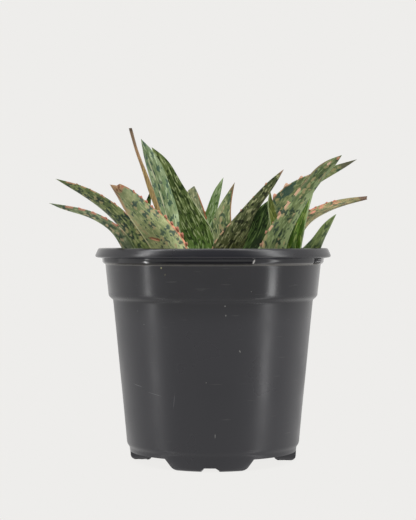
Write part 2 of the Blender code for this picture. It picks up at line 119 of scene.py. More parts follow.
def start_material(name):
    """An empty node material with its Principled shader."""
    made = bpy.data.materials.new(name)
    made.use_nodes = True
    return made, made.node_tree, made.node_tree.nodes["Principled BSDF"]


def coat(tree, shader, colour, roughness, relief=None, strength=0.0, depth=0.0):
    """Give a shader its colour and roughness, and a relief that is so many mm deep."""
    plug(tree, shader.inputs["Base Color"], colour)
    plug(tree, shader.inputs["Roughness"], roughness)
    if relief:
        bump = add_node(tree, "Bump", {"Height": relief, "Strength": strength,
                                       "Distance": depth * MM})[0]
        plug(tree, shader.inputs["Normal"], bump)


# %% [markdown]
# ## Modelling by hand, in code
# In edit mode an operator acts on what is selected, so each step first selects faces or corners
# by where they are. `only` makes one piece the selected and active one, and `pick_faces` and
# `pick_corners` select what passes a test. What repeats is modelled once and copied.

# %% Selection tools
def only(piece):
    """Make this piece the only selected one, and the active one."""
    bpy.ops.object.select_all(action="DESELECT")
    piece.select_set(True)
    bpy.context.view_layer.objects.active = piece


def edit(piece):
    """Open a piece in edit mode with nothing selected."""
    only(piece)
    bpy.ops.object.mode_set(mode="EDIT")
    bpy.ops.mesh.select_all(action="DESELECT")


def pick_faces(piece, test):
    """In edit mode, select exactly the faces whose middle and normal pass a test."""
    bpy.ops.mesh.select_mode(type="FACE")
    shape = bmesh.from_edit_mesh(piece.data)
    for face in shape.faces:
        face.select_set(bool(test(face.calc_center_median(), face.normal)))
    bmesh.update_edit_mesh(piece.data)


def pick_corners(piece, test):
    """In edit mode, select exactly the corners whose place passes a test."""
    bpy.ops.mesh.select_mode(type="VERT")
    shape = bmesh.from_edit_mesh(piece.data)
    for vert in shape.verts:
        vert.select_set(bool(test(vert.co)))
    shape.select_flush(False)
    bmesh.update_edit_mesh(piece.data)


def close_edit():
    """Merge doubles, turn every face outwards and go back to object mode."""
    bpy.ops.mesh.select_all(action="SELECT")
    bpy.ops.mesh.remove_doubles(threshold=0.001 * MM)
    bpy.ops.mesh.normals_make_consistent(inside=False)
    bpy.ops.object.mode_set(mode="OBJECT")


def refine(piece, kind, **settings):
    """Add a modifier, set it and apply it."""
    only(piece)
    made = piece.modifiers.new(kind.lower(), kind)
    for name, value in settings.items():
        setattr(made, name, value)
    bpy.ops.object.modifier_apply(modifier=made.name)


def finish_piece(piece, slot, *nodes):
    """A finished piece rides on the model's one body and stands for its CAD nodes."""
    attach(piece, "root")
    if nodes:
        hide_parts(*nodes)
    print(piece.name, "faces:", len(piece.data.polygons))


def join(pieces):
    """Join several objects into the first one."""
    bpy.ops.object.select_all(action="DESELECT")
    for piece in pieces:
        piece.select_set(True)
    bpy.context.view_layer.objects.active = pieces[0]
    bpy.ops.object.join()
    return pieces[0]


def added(name):
    """The piece that an operator has just added, under its own name."""
    made = bpy.context.object
    made.name = made.data.name = name
    return made


def direction(place):
    """Direction of a place round the pot, in degrees: 0 is the front, and 90 is the right."""
    return degrees(atan2(place.x, -place.y))


def within(angle, start, end):
    """True where a direction lies between two others, going round to the right."""
    return (angle - start) % 360 < (end - start) % 360


# %% [markdown]
# ## Camera
# A long lens from nearly the pot's rim height shows the rim as an almost flat line. The lens looks
# down by under a degree, so the pot's sides stay upright without any shift.

# %% Camera
CAMERA_DISTANCE = 797 * MM
CAMERA_HEIGHT = 112.7 * MM
CAMERA_DOWN = 0.734          # degrees
CAMERA_LEFT = 0.184          # degrees
lens = bpy.data.cameras.new("studio_camera")
lens.lens = 108
lens.sensor_width = 36
camera = bpy.data.objects.new("studio_camera", lens)
bpy.context.collection.objects.link(camera)
camera.location = (0, -CAMERA_DISTANCE, CAMERA_HEIGHT)
camera.rotation_euler = (radians(90 - CAMERA_DOWN), 0, radians(CAMERA_LEFT))
bpy.context.scene.camera = camera
bpy.context.scene.view_settings.view_transform = "Standard"
print("camera, mm from the pot's axis:", round(CAMERA_DISTANCE / MM))

# %% [markdown]
# ## Studio
# Product studios light dark glossy plastic with its surroundings: a white table and white walls show
# as a soft sheen that brightens towards the pot's sides, and tall light strips show as upright
# streaks. The room behind the camera is dim, and a soft box hangs overhead. The walls, the room and
# the soft box are the world's colour. The table is a sheet that gives off the same white, with a
# faint painted shadow where the pot stands close to it.

# %% World and floor
WALL_WHITE = "#EEEDEB"
ROOM_GREY = "#5E5E5E"
CONTACT_SHADOW_GREY = "#EAE9E7"
SOFT_BOX = 1.9               # the overhead light's brightness, per the walls' own
world = bpy.data.worlds.new("studio_walls")
bpy.context.scene.world = world
world.use_nodes = True
walls = world.node_tree
looking = add_node(walls, "SeparateXYZ", {0: add_node(walls, "TexCoord")["Generated"]})
overhead = graded(walls, (looking["Z"], 0.9, 0.99))
# The room behind the camera is grey from the table upwards.
wall_colour = paint(walls, WALL_WHITE, ROOM_GREY, (looking["Z"], 0.0, 0.12),
                    (looking["Y"], -0.75, -0.15, 1.0, 0.0))
wall_colour = paint(walls, wall_colour, WALL_WHITE, overhead)
# The dim room only shows in reflections: looked at straight, the studio is white all round.
wall_colour = paint(walls, wall_colour, WALL_WHITE, add_node(walls, "LightPath")["Is Camera Ray"])
background = walls.nodes["Background"]
plug(walls, background.inputs["Color"], wall_colour)
plug(walls, background.inputs["Strength"], graded(walls, (overhead, 0.0, 1.0, 1.0, SOFT_BOX)))

bpy.ops.mesh.primitive_circle_add(vertices=64, radius=12, fill_type="NGON", location=(0, 0, 0))
floor = bpy.context.object
floor.name = "studio_floor"
floor_paint, tree, _ = start_material("matt_white_sweep")
# The shadow under the pot is painted: ambient occlusion darkens the glowing sheet's white towards a
# light grey where the pot is near.
contact_shadow = add_node(tree, "AmbientOcclusion", {"Distance": 12 * MM})["AO"]
white = paint(tree, CONTACT_SHADOW_GREY, WALL_WHITE, (contact_shadow, 0.1, 0.6))
glow = add_node(tree, "Emission", {"Color": white})[0]
plug(tree, tree.nodes["Material Output"].inputs["Surface"], glow)
floor.data.materials.append(floor_paint)
floor.visible_glossy = False
floor.visible_shadow = False
print("table sheet, faces:", len(floor.data.polygons))

# %% [markdown]
# ### Light strips
# A streak on a turned pot stands where the wall mirrors a light, so each strip's direction was
# chosen for its streak, and its width for the streak's width. The strips are tall enough to show
# from the collar to the foot. Each is an area lamp that looks at the clump's middle.

# %% Light strips
AIM = Vector((0, 0, 100)) * MM


def light_strip(name, azimuth, distance, width, height, middle, watts):
    """A tall soft light that stands round the pot, azimuth in degrees as in direction()."""
    lamp = bpy.data.lights.new(name, "AREA")
    lamp.shape = "RECTANGLE"
    lamp.size = width
    lamp.size_y = height
    lamp.energy = watts
    holder = bpy.data.objects.new(name, lamp)
    bpy.context.collection.objects.link(holder)
    holder.location = (distance * sin(radians(azimuth)), -distance * cos(radians(azimuth)), middle)
    holder.rotation_euler = (AIM - holder.location).to_track_quat("-Z", "Y").to_euler()
    return holder


# A soft fill in front of the plant lights the leaves. It is cross-polarised, as in studios that
# light glossy things, so that it leaves no mirror image on the pot.
fill = light_strip("front_fill", -12, 1.5, 1.2, 1.0, 1.0, 6.0)
fill.visible_glossy = False
light_strip("strip_left", -75.5, 1.2, 0.09, 2.7, 1.2, 17.0)
light_strip("strip_right", 67.5, 1.2, 0.17, 2.7, 1.2, 19.0)
# The table mirrors each strip, and the pot's wall, which faces down a little, shows the mirrored
# ones. Two strips under the table stand for each: a short one near the table, and a long dim one
# below it, because the mirror image fades with its distance.
light_strip("mirrored_left", -73.6, 1.2, 0.09, 0.17, -0.165, 0.46)
light_strip("mirrored_right", 65.4, 1.2, 0.17, 0.17, -0.165, 0.68)
light_strip("faded_left", -74.0, 1.2, 0.09, 0.9, -0.75, 0.7)
light_strip("faded_right", 66.5, 1.2, 0.17, 0.9, -0.75, 1.3)
print("lights:", len(bpy.data.lights))

# %% [markdown]
# ## Pot
# The pot is moulded in one piece from black polypropylene: a rolled lip, a neck with shallow
# grooves, a collar with a step under it, a tapering wall, and a base plate on three feet. A
# turned shape is a half outline spun round an axis, so the outline comes first, as one corner
# extruded from point to point. The grooves and feet, which break the round, are made after it.

# %% Outline and spin
LIP = [(55.5, 108.1), (55.8, 108.45), (56.4, 108.6), (57.7, 108.6), (58.3, 108.4), (58.7, 107.9),
       (59.1, 107.0), (59.5, 106.1), (59.85, 105.3), (60.0, 104.7), (59.7, 104.15), (58.7, 103.85)]
NECK = [(57.5, 103.7), (56.6, 103.4), (56.45, 102.6), (56.4, 101.7), (55.8, 100.95)]
COLLAR = [(55.0, 100.6), (54.85, 100.2), (54.8, 99.5), (53.4, 86.2), (53.3, 85.2), (53.1, 84.5),
          (52.6, 83.8), (51.8, 83.1), (51.1, 82.5), (50.95, 82.0)]
BODY = [(50.85, 81.3), (49.5, 68.0), (47.4, 46.0), (45.3, 25.0), (43.95, 10.2), (43.7, 9.3),
        (43.2, 8.5), (42.8, 7.9), (42.55, 7.2), (42.5, 6.4), (42.4, 5.6)]
UNDERSIDE = [(36.0, 5.6), (31.0, 5.6), (27.0, 5.6), (19.0, 5.6), (6.0, 5.6)]
INSIDE = [(6.0, 6.6), (19.0, 6.6), (27.0, 6.6), (36.0, 6.6), (41.2, 7.6), (42.9, 10.6), (49.8, 82.6),
          (52.2, 86.3), (53.7, 99.2), (54.4, 100.5), (55.2, 102.3), (55.3, 104.2), (55.3, 105.8)]
SPIN_STEPS = 180
FRONT_FOOT = -1.8            # degrees: the front foot sits a little left of the front


def extruded_line(name, points):
    """A line of edges: one corner, extruded from each point to the next."""
    bpy.ops.object.select_all(action="DESELECT")
    bpy.ops.mesh.primitive_plane_add(size=1 * MM, location=(0, 0, 0))
    line = added(name)
    bpy.ops.object.mode_set(mode="EDIT")
    bpy.ops.mesh.select_all(action="SELECT")
    bpy.ops.mesh.merge(type="CENTER")
    bpy.ops.transform.translate(value=points[0])
    for start, end in zip(points, points[1:]):
        bpy.ops.mesh.extrude_region_move(TRANSFORM_OT_translate={"value": end - start})
    return line


outline = LIP + NECK + COLLAR + BODY + UNDERSIDE + INSIDE
turn = Matrix.Rotation(radians(FRONT_FOOT), 3, "Z")
start_side = [turn @ Vector((0, -radius, height)) * MM for radius, height in outline + outline[:1]]
pot = extruded_line("nursery_pot", start_side)
bpy.ops.mesh.select_all(action="SELECT")
bpy.ops.mesh.spin(steps=SPIN_STEPS, angle=2 * pi, center=(0, 0, 0), axis=(0, 0, 1))
close_edit()
print("pot outline points:", len(outline), "faces:", len(pot.data.polygons))

# %% [markdown]
# ### Grooves under the lip
# Four shallow grooves run round the neck, under the lip's overhang, and between them the neck
# stands out over the ledge. Each groove is a run of corners that is scaled towards the axis.
# Both skins of the wall move together, so the wall keeps its thickness.

# %% Grooves
# Where each groove starts and ends, in degrees, and how deep it is. The first one starts gently.
GROOVES = ((-72, -68, 0.2), (-68, -64, 0.45), (-64, -60, 0.7), (-60, 22, 1.0), (63, 71, 1.0),
           (100, 202, 1.0), (247, 255, 1.0))
# Each corner of the outline that a groove moves: its height, its radius and its new radius.
GROOVE_MOVES = ((103.7, 57.5, 54.9), (103.4, 56.6, 54.4), (102.6, 56.45, 54.4), (101.7, 56.4, 54.4),
                (100.95, 55.8, 54.6), (104.2, 55.3, 52.7), (102.3, 55.2, 52.7), (100.5, 54.4, 53.1))

edit(pot)
for start, end, depth in GROOVES:
    for height, radius, moved in GROOVE_MOVES:
        moved = radius + (moved - radius) * depth
        pick_corners(pot, lambda place: abs(place.z - height * MM) < 0.04 * MM
                     and abs(place.xy.length - radius * MM) < 0.1 * MM
                     and within(direction(place), start, end))
        bpy.ops.transform.resize(value=(moved / radius, moved / radius, 1),
                                 center_override=(0, 0, 0))
close_edit()
print("grooves:", len([depth for _, _, depth in GROOVES if depth == 1.0]))

# %% [markdown]
# ### Feet, notches and drain slots
# Three arc-shaped feet lift the base plate, so that water can run off. Each is a patch of the
# underside, extruded down and drawn in a little, as a mould's draft does, with a drain notch in
# the middle of its sole. The outline has left a hole in the middle, and slots between the feet
# let more water out: both skins of the plate are picked there and bridged, which cuts the slot and
# gives it walls.

# %% Feet
FOOT_HALF = 31.0             # degrees
FOOT_HEIGHT = 5.6 * MM
# How much of its size each foot keeps at its sole, and the width of its round edge in mm.
FEET = ((0.8, 1.9), (0.96, 2.6), (0.96, 2.6))


def turned_place(middle, radius, height=0.0):
    """A place at a radius and direction round the pot."""
    return Vector((radius * sin(radians(middle)), -radius * cos(radians(middle)), height)) * MM


for foot, (drawn_in, round_edge) in enumerate(FEET):
    middle = FRONT_FOOT + 120 * foot
    edit(pot)
    pick_faces(pot, lambda place, normal: normal.z < -0.9 and 31 * MM < place.xy.length < 42 * MM
               and within(direction(place), middle - FOOT_HALF, middle + FOOT_HALF))
    bpy.ops.mesh.extrude_region_move(TRANSFORM_OT_translate={"value": (0, 0, -FOOT_HEIGHT)})
    bpy.ops.transform.resize(value=(drawn_in, drawn_in, 1), center_override=turned_place(middle, 42))
    bpy.ops.mesh.region_to_loop()
    bpy.ops.mesh.bevel(offset=round_edge * MM, segments=4)
    pick_corners(pot, lambda place: place.z < 1.6 * MM
                 and within(direction(place), middle - 5, middle + 5))
    bpy.ops.transform.translate(value=(0, 0, 2 * MM))
    pick_faces(pot, lambda place, normal: abs(normal.z) > 0.9 and place.z < 7 * MM
               and 19 * MM < place.xy.length < 27 * MM
               and within(direction(place), middle + 46, middle + 74))
    bpy.ops.mesh.bridge_edge_loops()
    close_edit()
refine(pot, "BEVEL", width=0.3 * MM, segments=2, limit_method="ANGLE", angle_limit=radians(48))
only(pot)
bpy.ops.object.shade_smooth_by_angle(angle=radians(38))
print("feet:", len(FEET), "faces:", len(pot.data.polygons))

# %% [markdown]
# ### Black polypropylene
# Nursery pots are injection moulded from recycled polypropylene, coloured with carbon black. The
# mould's polish gives a smooth face that is slightly worn by handling: a soft, uneven sheen, a
# few fine scratches that run round the wall, and specks of dried potting dust.

# %% Pot material
pot_plastic, tree, shader = start_material("black_polypropylene")
place = add_node(tree, "TexCoord")["Object"]
height = add_node(tree, "SeparateXYZ", {0: place})["Z"]
# Handling marks are clouds about 25 mm across: a scale of 40 per metre.
clouds = add_node(tree, "TexNoise", {"Vector": place, "Scale": 40.0, "Detail": 4.0})[0]
black = paint(tree, "#141419", "#1B1B20", (clouds, 0.35, 0.7))
# The wall below the collar is a little greyer.
black = paint(tree, black, "#222227", (height, 70 * MM, 84 * MM, 1.0, 0.0))
# Scratches run round the wall: they are about 1 mm high and 14 mm long.
flat = add_node(tree, "Mapping", {"Vector": place, "Scale": (70.0, 70.0, 1100.0)})[0]
scratch = add_node(tree, "TexNoise", {"Vector": flat, "Scale": 1.0, "Detail": 1.0})[0]
black = paint(tree, black, "#5A5A58", (scratch, 0.72, 0.8, 0.0, 0.25))
# Dust specks lie about 9 mm apart and are 0.4 mm across, and four in five are left out.
dust = add_node(tree, "TexVoronoi", {"Vector": place, "Scale": 110.0})
chosen = add_node(tree, "SeparateColor", {0: dust["Color"]})[0]
black = paint(tree, black, "#8A8474", (dust["Distance"], 0.02, 0.035, 1.0, 0.0), (chosen, 0.8, 0.82))
# A painted highlight lies along the ledge under the neck, where its top catches the light.
black = paint(tree, black, "#5C5A57", (height, 100.1 * MM, 100.4 * MM),
              (height, 101.0 * MM, 101.6 * MM, 1.0, 0.0), 0.8)

# %% [markdown]
# Scuffs, stuck crumbs and one painted glint are single marks, so each is an ellipse that is placed on
# the wall one by one. The mould's fine grain makes their rims ragged, and later gives the wall its
# relief.

# %% Scuffs and a painted glint
# The mould's grain is 0.3 mm, drawn at 0.9 mm because the finer one would not show.
grain = add_node(tree, "TexNoise", {"Vector": place, "Scale": 1100.0, "Detail": 2.0})[0]
# For each mark: direction, height, half width, half height, turn, colour, strength.
# The first mark is a painted glint: the bright end wall of a groove, where it mirrors the left light
# strip.
SCUFFS_AND_GLINT = ((20.8, 102.3, 0.4, 1.4, 14, "#E4E2DE", 1.0), (-52, 41, 5, 0.13, 8, "#8A8A8C", 0.4),
          (-38, 37.5, 5, 0.13, 10, "#8A8A8C", 0.35), (-24, 35, 0.2, 4.5, 8, "#77777A", 0.3),
          (1.3, 18, 0.2, 1.3, 0, "#A8A8A4", 0.5), (6.5, 81, 0.35, 0.4, 0, "#9A9A96", 0.5),
          (7, 76.5, 0.4, 0.5, 0, "#8E8E8A", 0.45), (15.5, 59, 0.25, 0.8, -20, "#B4B2AC", 0.5),
          (-42.5, 71.5, 0.3, 0.3, 0, "#9C9A94", 0.6), (-27, 99.3, 0.5, 0.5, 0, "#A5A478", 0.65),
          (-25, 96, 0.3, 0.6, 30, "#7C7A5E", 0.5), (-47, 78, 0.3, 0.3, 0, "#8E8E8A", 0.4),
          (-4, 44, 0.25, 0.3, 0, "#A8A8A4", 0.5), (20, 88, 0.25, 0.3, 0, "#8E8E8A", 0.4))
MARK_DEPTH = 3              # mm: a mark reaches this far off the wall's rough radius
for angle, level, half_width, half_height, turned, mark_colour, strength in SCUFFS_AND_GLINT:
    # The wall's rough radius is that of the neck, of the collar or of the tapering body.
    radius = 55.5 if level > 100 else 54 if level > 84 else 42 + level / 9
    far = ragged_spot(tree, place, turned_place(angle, radius, level),
                      (0.0, radians(turned), radians(angle)),
                      (half_width * MM, MARK_DEPTH * MM, half_height * MM), grain, 0.8)
    black = paint(tree, black, mark_colour, (far, 0.9, 1.4, 1.0, 0.0), strength)
print("marks on the pot:", len(SCUFFS_AND_GLINT))

# %% [markdown]
# The sheen is uneven, and duller on the lower wall, where a pot is gripped. The neck, which the
# lip shields, is the smoothest part, and the collar comes next.

# %% Sheen
gloss = graded(tree, (clouds, 0.3, 0.75, 0.19, 0.3))
worn = graded(tree, (height, 80 * MM, 86 * MM, 0.08, 0.03))
gloss = add_node(tree, "Math", {0: gloss, 1: worn}, operation="ADD")[0]
neck = graded(tree, (height, 101.0 * MM, 101.4 * MM), (height, 103.5 * MM, 103.9 * MM, 1.0, 0.0))
collar = graded(tree, (height, 84.5 * MM, 87 * MM), (height, 100.0 * MM, 100.8 * MM, 1.0, 0.0))
gloss = graded(tree, gloss, (neck, 0.0, 1.0, 1.0, 0.5), (collar, 0.0, 1.0, 1.0, 0.82))
coat(tree, shader, black, gloss, grain, 0.05, 0.05)
shader.inputs["IOR"].default_value = 1.49
pot.data.materials.append(pot_plastic)
finish_piece(pot, "pot_plastic", "pot")

# %% [markdown]
# ## Potting mix
# The mix is dark peat with bark crumbs and a few white perlite grains. Its body is a plug that
# fills the pot. The plug's top is inset, poked and subdivided into a fine grid, and the grid's
# corners are then lifted or lowered by a little, at random but with a fixed seed.

# %% Potting mix body
soil_low, soil_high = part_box("soil")
SOIL_TOP = soil_high.z
SOIL_RINGS = 13              # rings of the grid on top
bpy.ops.object.select_all(action="DESELECT")
bpy.ops.mesh.primitive_cylinder_add(vertices=72, radius=soil_high.x, depth=SOIL_TOP - soil_low.z,
                                    location=(0, 0, (SOIL_TOP + soil_low.z) / 2))
soil = added("potting_mix")
bpy.ops.object.transform_apply(location=True, rotation=False, scale=False)
edit(soil)
pick_corners(soil, lambda place: place.z < soil_low.z + 1 * MM)
bpy.ops.transform.resize(value=(0.74, 0.74, 1), center_override=(0, 0, soil_low.z))
pick_faces(soil, lambda place, normal: normal.z > 0.9)
for ring in range(SOIL_RINGS):
    bpy.ops.mesh.inset(thickness=3.8 * MM, depth=0)
bpy.ops.mesh.poke()
pick_faces(soil, lambda place, normal: normal.z > 0.9)
bpy.ops.mesh.subdivide(number_cuts=1)
pick_corners(soil, lambda place: place.z > SOIL_TOP - 0.1 * MM and place.xy.length < 50 * MM)
rolling = Random(11)
shape = bmesh.from_edit_mesh(soil.data)
for vert in shape.verts:
    if vert.select:
        vert.co.z += rolling.uniform(-1.2, 0.9) * MM
bmesh.update_edit_mesh(soil.data)
close_edit()
bpy.ops.object.shade_smooth_by_angle(angle=radians(60))
print("rings of the grid on the mix:", SOIL_RINGS)

# %% [markdown]
# ### Crumbs
# Crumbs lie loose on the mix, and none is like the next. Three lumps of bark and one of perlite
# are modelled as low balls, pulled out of round. Their copies are strewn with a fixed seed, each
# turned and sized at random, and joined into one piece of bark and one of perlite.

# %% Crumbs
def crumb(name, size, stretch):
    """One lump of bark or perlite, about size across: a low ball, pulled out of round."""
    bpy.ops.object.select_all(action="DESELECT")
    bpy.ops.mesh.primitive_ico_sphere_add(subdivisions=2, radius=size / 2 * MM)
    made = added(name)
    edit(made)
    bpy.ops.mesh.select_all(action="SELECT")
    bpy.ops.transform.resize(value=stretch)
    bpy.ops.transform.vertex_random(offset=size * 0.12 * MM, seed=len(name))
    close_edit()
    return made


def own_copy(model):
    """A copy of a piece, with a mesh of its own."""
    made = model.copy()
    made.data = model.data.copy()
    bpy.context.collection.objects.link(made)
    return made


def strewn(name, lumps, count, seed, reach, low, high):
    """Copies of the lumps, turned and laid over the mix between two heights."""
    draw = Random(seed)
    copies = []
    for index in range(count):
        made = own_copy(lumps[index % len(lumps)])
        far, angle = reach * draw.random() ** 0.5, draw.uniform(-180, 180)
        turned = (Matrix.Rotation(draw.uniform(0, 6.3), 4, "Z")
                  @ Matrix.Rotation(draw.uniform(-0.6, 0.6), 4, "X"))
        place = turned_place(angle, far) + Vector((0, 0, SOIL_TOP + draw.uniform(low, high) * MM))
        sized = Matrix.Scale(draw.uniform(0.6, 1.3), 4)
        made.data.transform(Matrix.Translation(place) @ turned @ sized)
        copies.append(made)
    for lump in lumps:
        bpy.data.objects.remove(lump)
    made = join(copies)
    made.name = made.data.name = name
    return made


bark_lumps = [crumb("bark_long", 4.2, (1.0, 0.45, 0.35)), crumb("bark_square", 2.8, (1.0, 0.8, 0.5)),
              crumb("peat_ball", 1.9, (1.0, 0.9, 0.8))]
bark = strewn("bark_crumbs", bark_lumps, 330, 5, 50.5, -0.3, 0.9)
perlite_lump = crumb("perlite_grain", 1.9, (1.0, 0.9, 0.8))
perlite = strewn("perlite_grains", [perlite_lump], 34, 9, 49, 0.3, 1.1)

# %% [markdown]
# ### Peat, bark and perlite
# Peat is almost black when moist and shows no gloss. Bark is a redder brown with a fibrous face,
# and perlite is a chalky white glass foam. One brown mix serves peat and bark, with its colour
# shifted by a noise of the crumbs' own size.

# %% Soil materials
peat, tree, shader = start_material("moist_peat_and_bark")
place = add_node(tree, "TexCoord")["Object"]
# Crumbs are about 2.5 mm apart, and fibres about 0.7 mm.
crumbs = add_node(tree, "TexNoise", {"Vector": place, "Scale": 400.0, "Detail": 3.0})[0]
fibre = add_node(tree, "TexNoise", {"Vector": place, "Scale": 1500.0, "Detail": 2.0})[0]
brown = paint(tree, "#1E1712", "#4A3426", (crumbs, 0.35, 0.65))
brown = paint(tree, brown, "#6B4E38", (fibre, 0.55, 0.75))
coat(tree, shader, brown, 0.95, fibre, 0.6, 0.4)

foam, tree, shader = start_material("expanded_perlite")
place = add_node(tree, "TexCoord")["Object"]
# The foam's pores are about 0.7 mm apart.
pores = add_node(tree, "TexNoise", {"Vector": place, "Scale": 1400.0, "Detail": 2.0})[0]
coat(tree, shader, paint(tree, "#A8A296", "#DEDAD0", (pores, 0.35, 0.6)), 0.9)

for piece, finish in ((soil, peat), (bark, peat), (perlite, foam)):
    piece.data.materials.clear()
    piece.data.materials.append(finish)
finish_piece(soil, "potting_soil", "soil")
finish_piece(bark, "potting_soil")
finish_piece(perlite, "potting_soil")

# %% [markdown]
# ## Crowns
# An aloe's stem hardly shows: it is wrapped in the sheathing bases of its leaves, the lowest ones
# dry and papery, and its youngest leaves stand up in the middle. Each crown starts as a cylinder
# at its CAD stem, whose side is cut into rings. Every second ring is widened, as leaf bases are.
# The last rings are drawn in, and the top is drawn up into a low dome.

# %% Crown shapes
CROWN_RINGS = (1.1, 0.98, 1.1, 0.98, 0.88, 0.49)    # each ring's width, from the foot up
CROWN_FOOT = 3 * MM          # how deep the crown stands in the mix


def draw_out(*steps):
    """Extrude the picked faces by steps: a rise and a lean to +Y in mm, and a share of the width."""
    for rise, lean, shrink in steps:
        bpy.ops.mesh.extrude_region_move(
            TRANSFORM_OT_translate={"value": (0, lean * MM, rise * MM)})
        bpy.ops.transform.resize(value=(shrink, shrink, 1))


def crown(node):
    """The wrapped stem of one rosette, where its CAD stem stands."""
    low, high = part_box(node)
    radius = (high.x - low.x) / 2
    middle = (low + high) / 2
    foot = SOIL_TOP - CROWN_FOOT
    bpy.ops.object.select_all(action="DESELECT")
    bpy.ops.mesh.primitive_cylinder_add(vertices=20, radius=radius, depth=high.z - foot,
                                        location=(middle.x, middle.y, (high.z + foot) / 2))
    made = added(node.replace("stem", "crown"))
    bpy.ops.object.transform_apply(location=True, rotation=False, scale=False)
    edit(made)
    for ring, wide in enumerate(CROWN_RINGS, 1):
        bpy.ops.mesh.select_all(action="SELECT")
        height = foot + (high.z - foot) * ring / (len(CROWN_RINGS) + 1)
        bpy.ops.mesh.bisect(plane_co=(0, 0, height), plane_no=(0, 0, 1))
        pick_corners(made, lambda place: abs(place.z - height) < 0.01 * MM)
        bpy.ops.transform.resize(value=(wide, wide, 1), center_override=(middle.x, middle.y, height))
    pick_faces(made, lambda place, normal: normal.z > 0.9)
    bpy.ops.transform.resize(value=(0.3, 0.3, 1))
    draw_out((0.4, 0, 0.72), (0.4, 0, 0.72))
    close_edit()
    refine(made, "SUBSURF", levels=2, render_levels=2)
    bpy.ops.object.shade_smooth()
    return made


# %% [markdown]
# The crown's skin is live stem at the top and dry sheath below: dull green that turns to tan,
# with fine fibres that run up and down and catch the light.

# %% Crown material
sheath, tree, shader = start_material("dry_leaf_sheath")
place = add_node(tree, "TexCoord")["Object"]
height = add_node(tree, "SeparateXYZ", {0: place})["Z"]
# Fibres are 0.5 mm wide and some 8 mm long.
tall = add_node(tree, "Mapping", {"Vector": place, "Scale": (1500.0, 1500.0, 120.0)})[0]
fibre = add_node(tree, "TexNoise", {"Vector": tall, "Scale": 1.0, "Detail": 3.0})[0]
tan = paint(tree, "#6E5637", "#B29B6C", (fibre, 0.35, 0.65))
skin = paint(tree, tan, "#7E9255", (height, 95 * MM, 102 * MM, 0.0, 0.75))
coat(tree, shader, skin, 0.75, fibre, 0.5, 0.3)
CROWNS = ("stem_left", "stem_main", "stem_pup", "stem_right")
for node in CROWNS:
    made = crown(node)
    made.data.materials.append(sheath)
    finish_piece(made, "aloe_stem", node)

# %% [markdown]
# ### Hearts
# In the middle of each rosette the youngest leaves stand folded together. One spear is modelled: a
# flat oval, drawn up four times while it narrows and leans out. Nine copies, five that lean out and
# four that stand inside them, cover the top of the crown. They stay lower than the pot's lip.

# %% A young leaf
def stub(name, corners, radius, flattened, steps):
    """A stub that stands up +Z at the origin: a flattened disc, drawn out step by step."""
    bpy.ops.object.select_all(action="DESELECT")
    bpy.ops.mesh.primitive_circle_add(vertices=corners, radius=radius, fill_type="NGON")
    made = added(name)
    edit(made)
    bpy.ops.mesh.select_all(action="SELECT")
    bpy.ops.transform.resize(value=flattened)
    draw_out(*steps)
    close_edit()
    return made


# It stands with its back to -Y and leans out towards -Y.
SPEAR_HEIGHT, SPEAR_WIDTH = 10 * MM, 6 * MM
spear = stub("young_leaf", 8, SPEAR_WIDTH / 2, (1, 0.42, 1),
             ((2.4, -0.3, 1.05), (2.8, -0.5, 0.85), (2.6, -0.7, 0.62), (2.2, -0.8, 0.12)))
refine(spear, "SUBSURF", levels=1, render_levels=1)
bpy.ops.object.shade_smooth()
print("young leaf, faces:", len(spear.data.polygons))

# %% [markdown]
# Young leaves have the same waxy skin as old ones, but it is brighter, and its marks are small.

# %% Young leaf material
young, tree, shader = start_material("young_leaf_skin")
place = add_node(tree, "TexCoord")["Object"]
# Streaks are 0.6 mm wide and 4 mm long, and the dark marks are about 1.5 mm apart.
tall = add_node(tree, "Mapping", {"Vector": place, "Scale": (1600.0, 1600.0, 240.0)})[0]
streak = add_node(tree, "TexNoise", {"Vector": tall, "Scale": 1.0, "Detail": 2.0})[0]
marks = add_node(tree, "TexNoise", {"Vector": place, "Scale": 650.0, "Detail": 1.0})[0]
green = paint(tree, "#4E6B34", "#8FA466", (streak, 0.35, 0.65))
green = paint(tree, green, "#34492C", (marks, 0.56, 0.62, 0.0, 0.7))
coat(tree, shader, green, 0.5)
spear.data.materials.append(young)

# %% The hearts
HEART_TOP = 107.4 * MM
HEART_FOOT = 6 * MM          # how deep a spear stands in its crown
OUTER, INNER = 5, 4          # spears in each ring
for node in CROWNS:
    low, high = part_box(node)
    middle, radius = (low + high) / 2, (high.x - low.x) / 2
    middle.z = high.z - HEART_FOOT
    draw = Random(len(node) + round(middle.x / MM))
    first = draw.uniform(0, 360)
    spears = []
    for index in range(OUTER + INNER):
        if index < OUTER:
            away, width, size, lean = 0.56, 1.12, 0.86, draw.uniform(-3, 5)
            angle = first + 360 / OUTER * index
        else:
            away, width, size, lean = 0.24, 0.7, 1.0, draw.uniform(-6, 0)
            angle = first + 35 + 360 / INNER * index
        angle += draw.uniform(-8, 8)
        tall = size * (HEART_TOP - middle.z) / SPEAR_HEIGHT * draw.uniform(0.92, 1.0)
        wide = width * radius / SPEAR_WIDTH
        stand = (Matrix.Translation(middle) @ Matrix.Rotation(radians(angle), 4, "Z")
                 @ Matrix.Translation((0, -away * radius, 0))
                 @ Matrix.Rotation(radians(lean), 4, "X"))
        made = own_copy(spear)
        made.data.transform(stand @ Matrix.Diagonal((wide, wide, tall, 1)))
        spears.append(made)
    heart = join(spears)
    heart.name = heart.data.name = node.replace("stem", "heart")
    finish_piece(heart, "aloe_leaf")
bpy.data.objects.remove(spear)

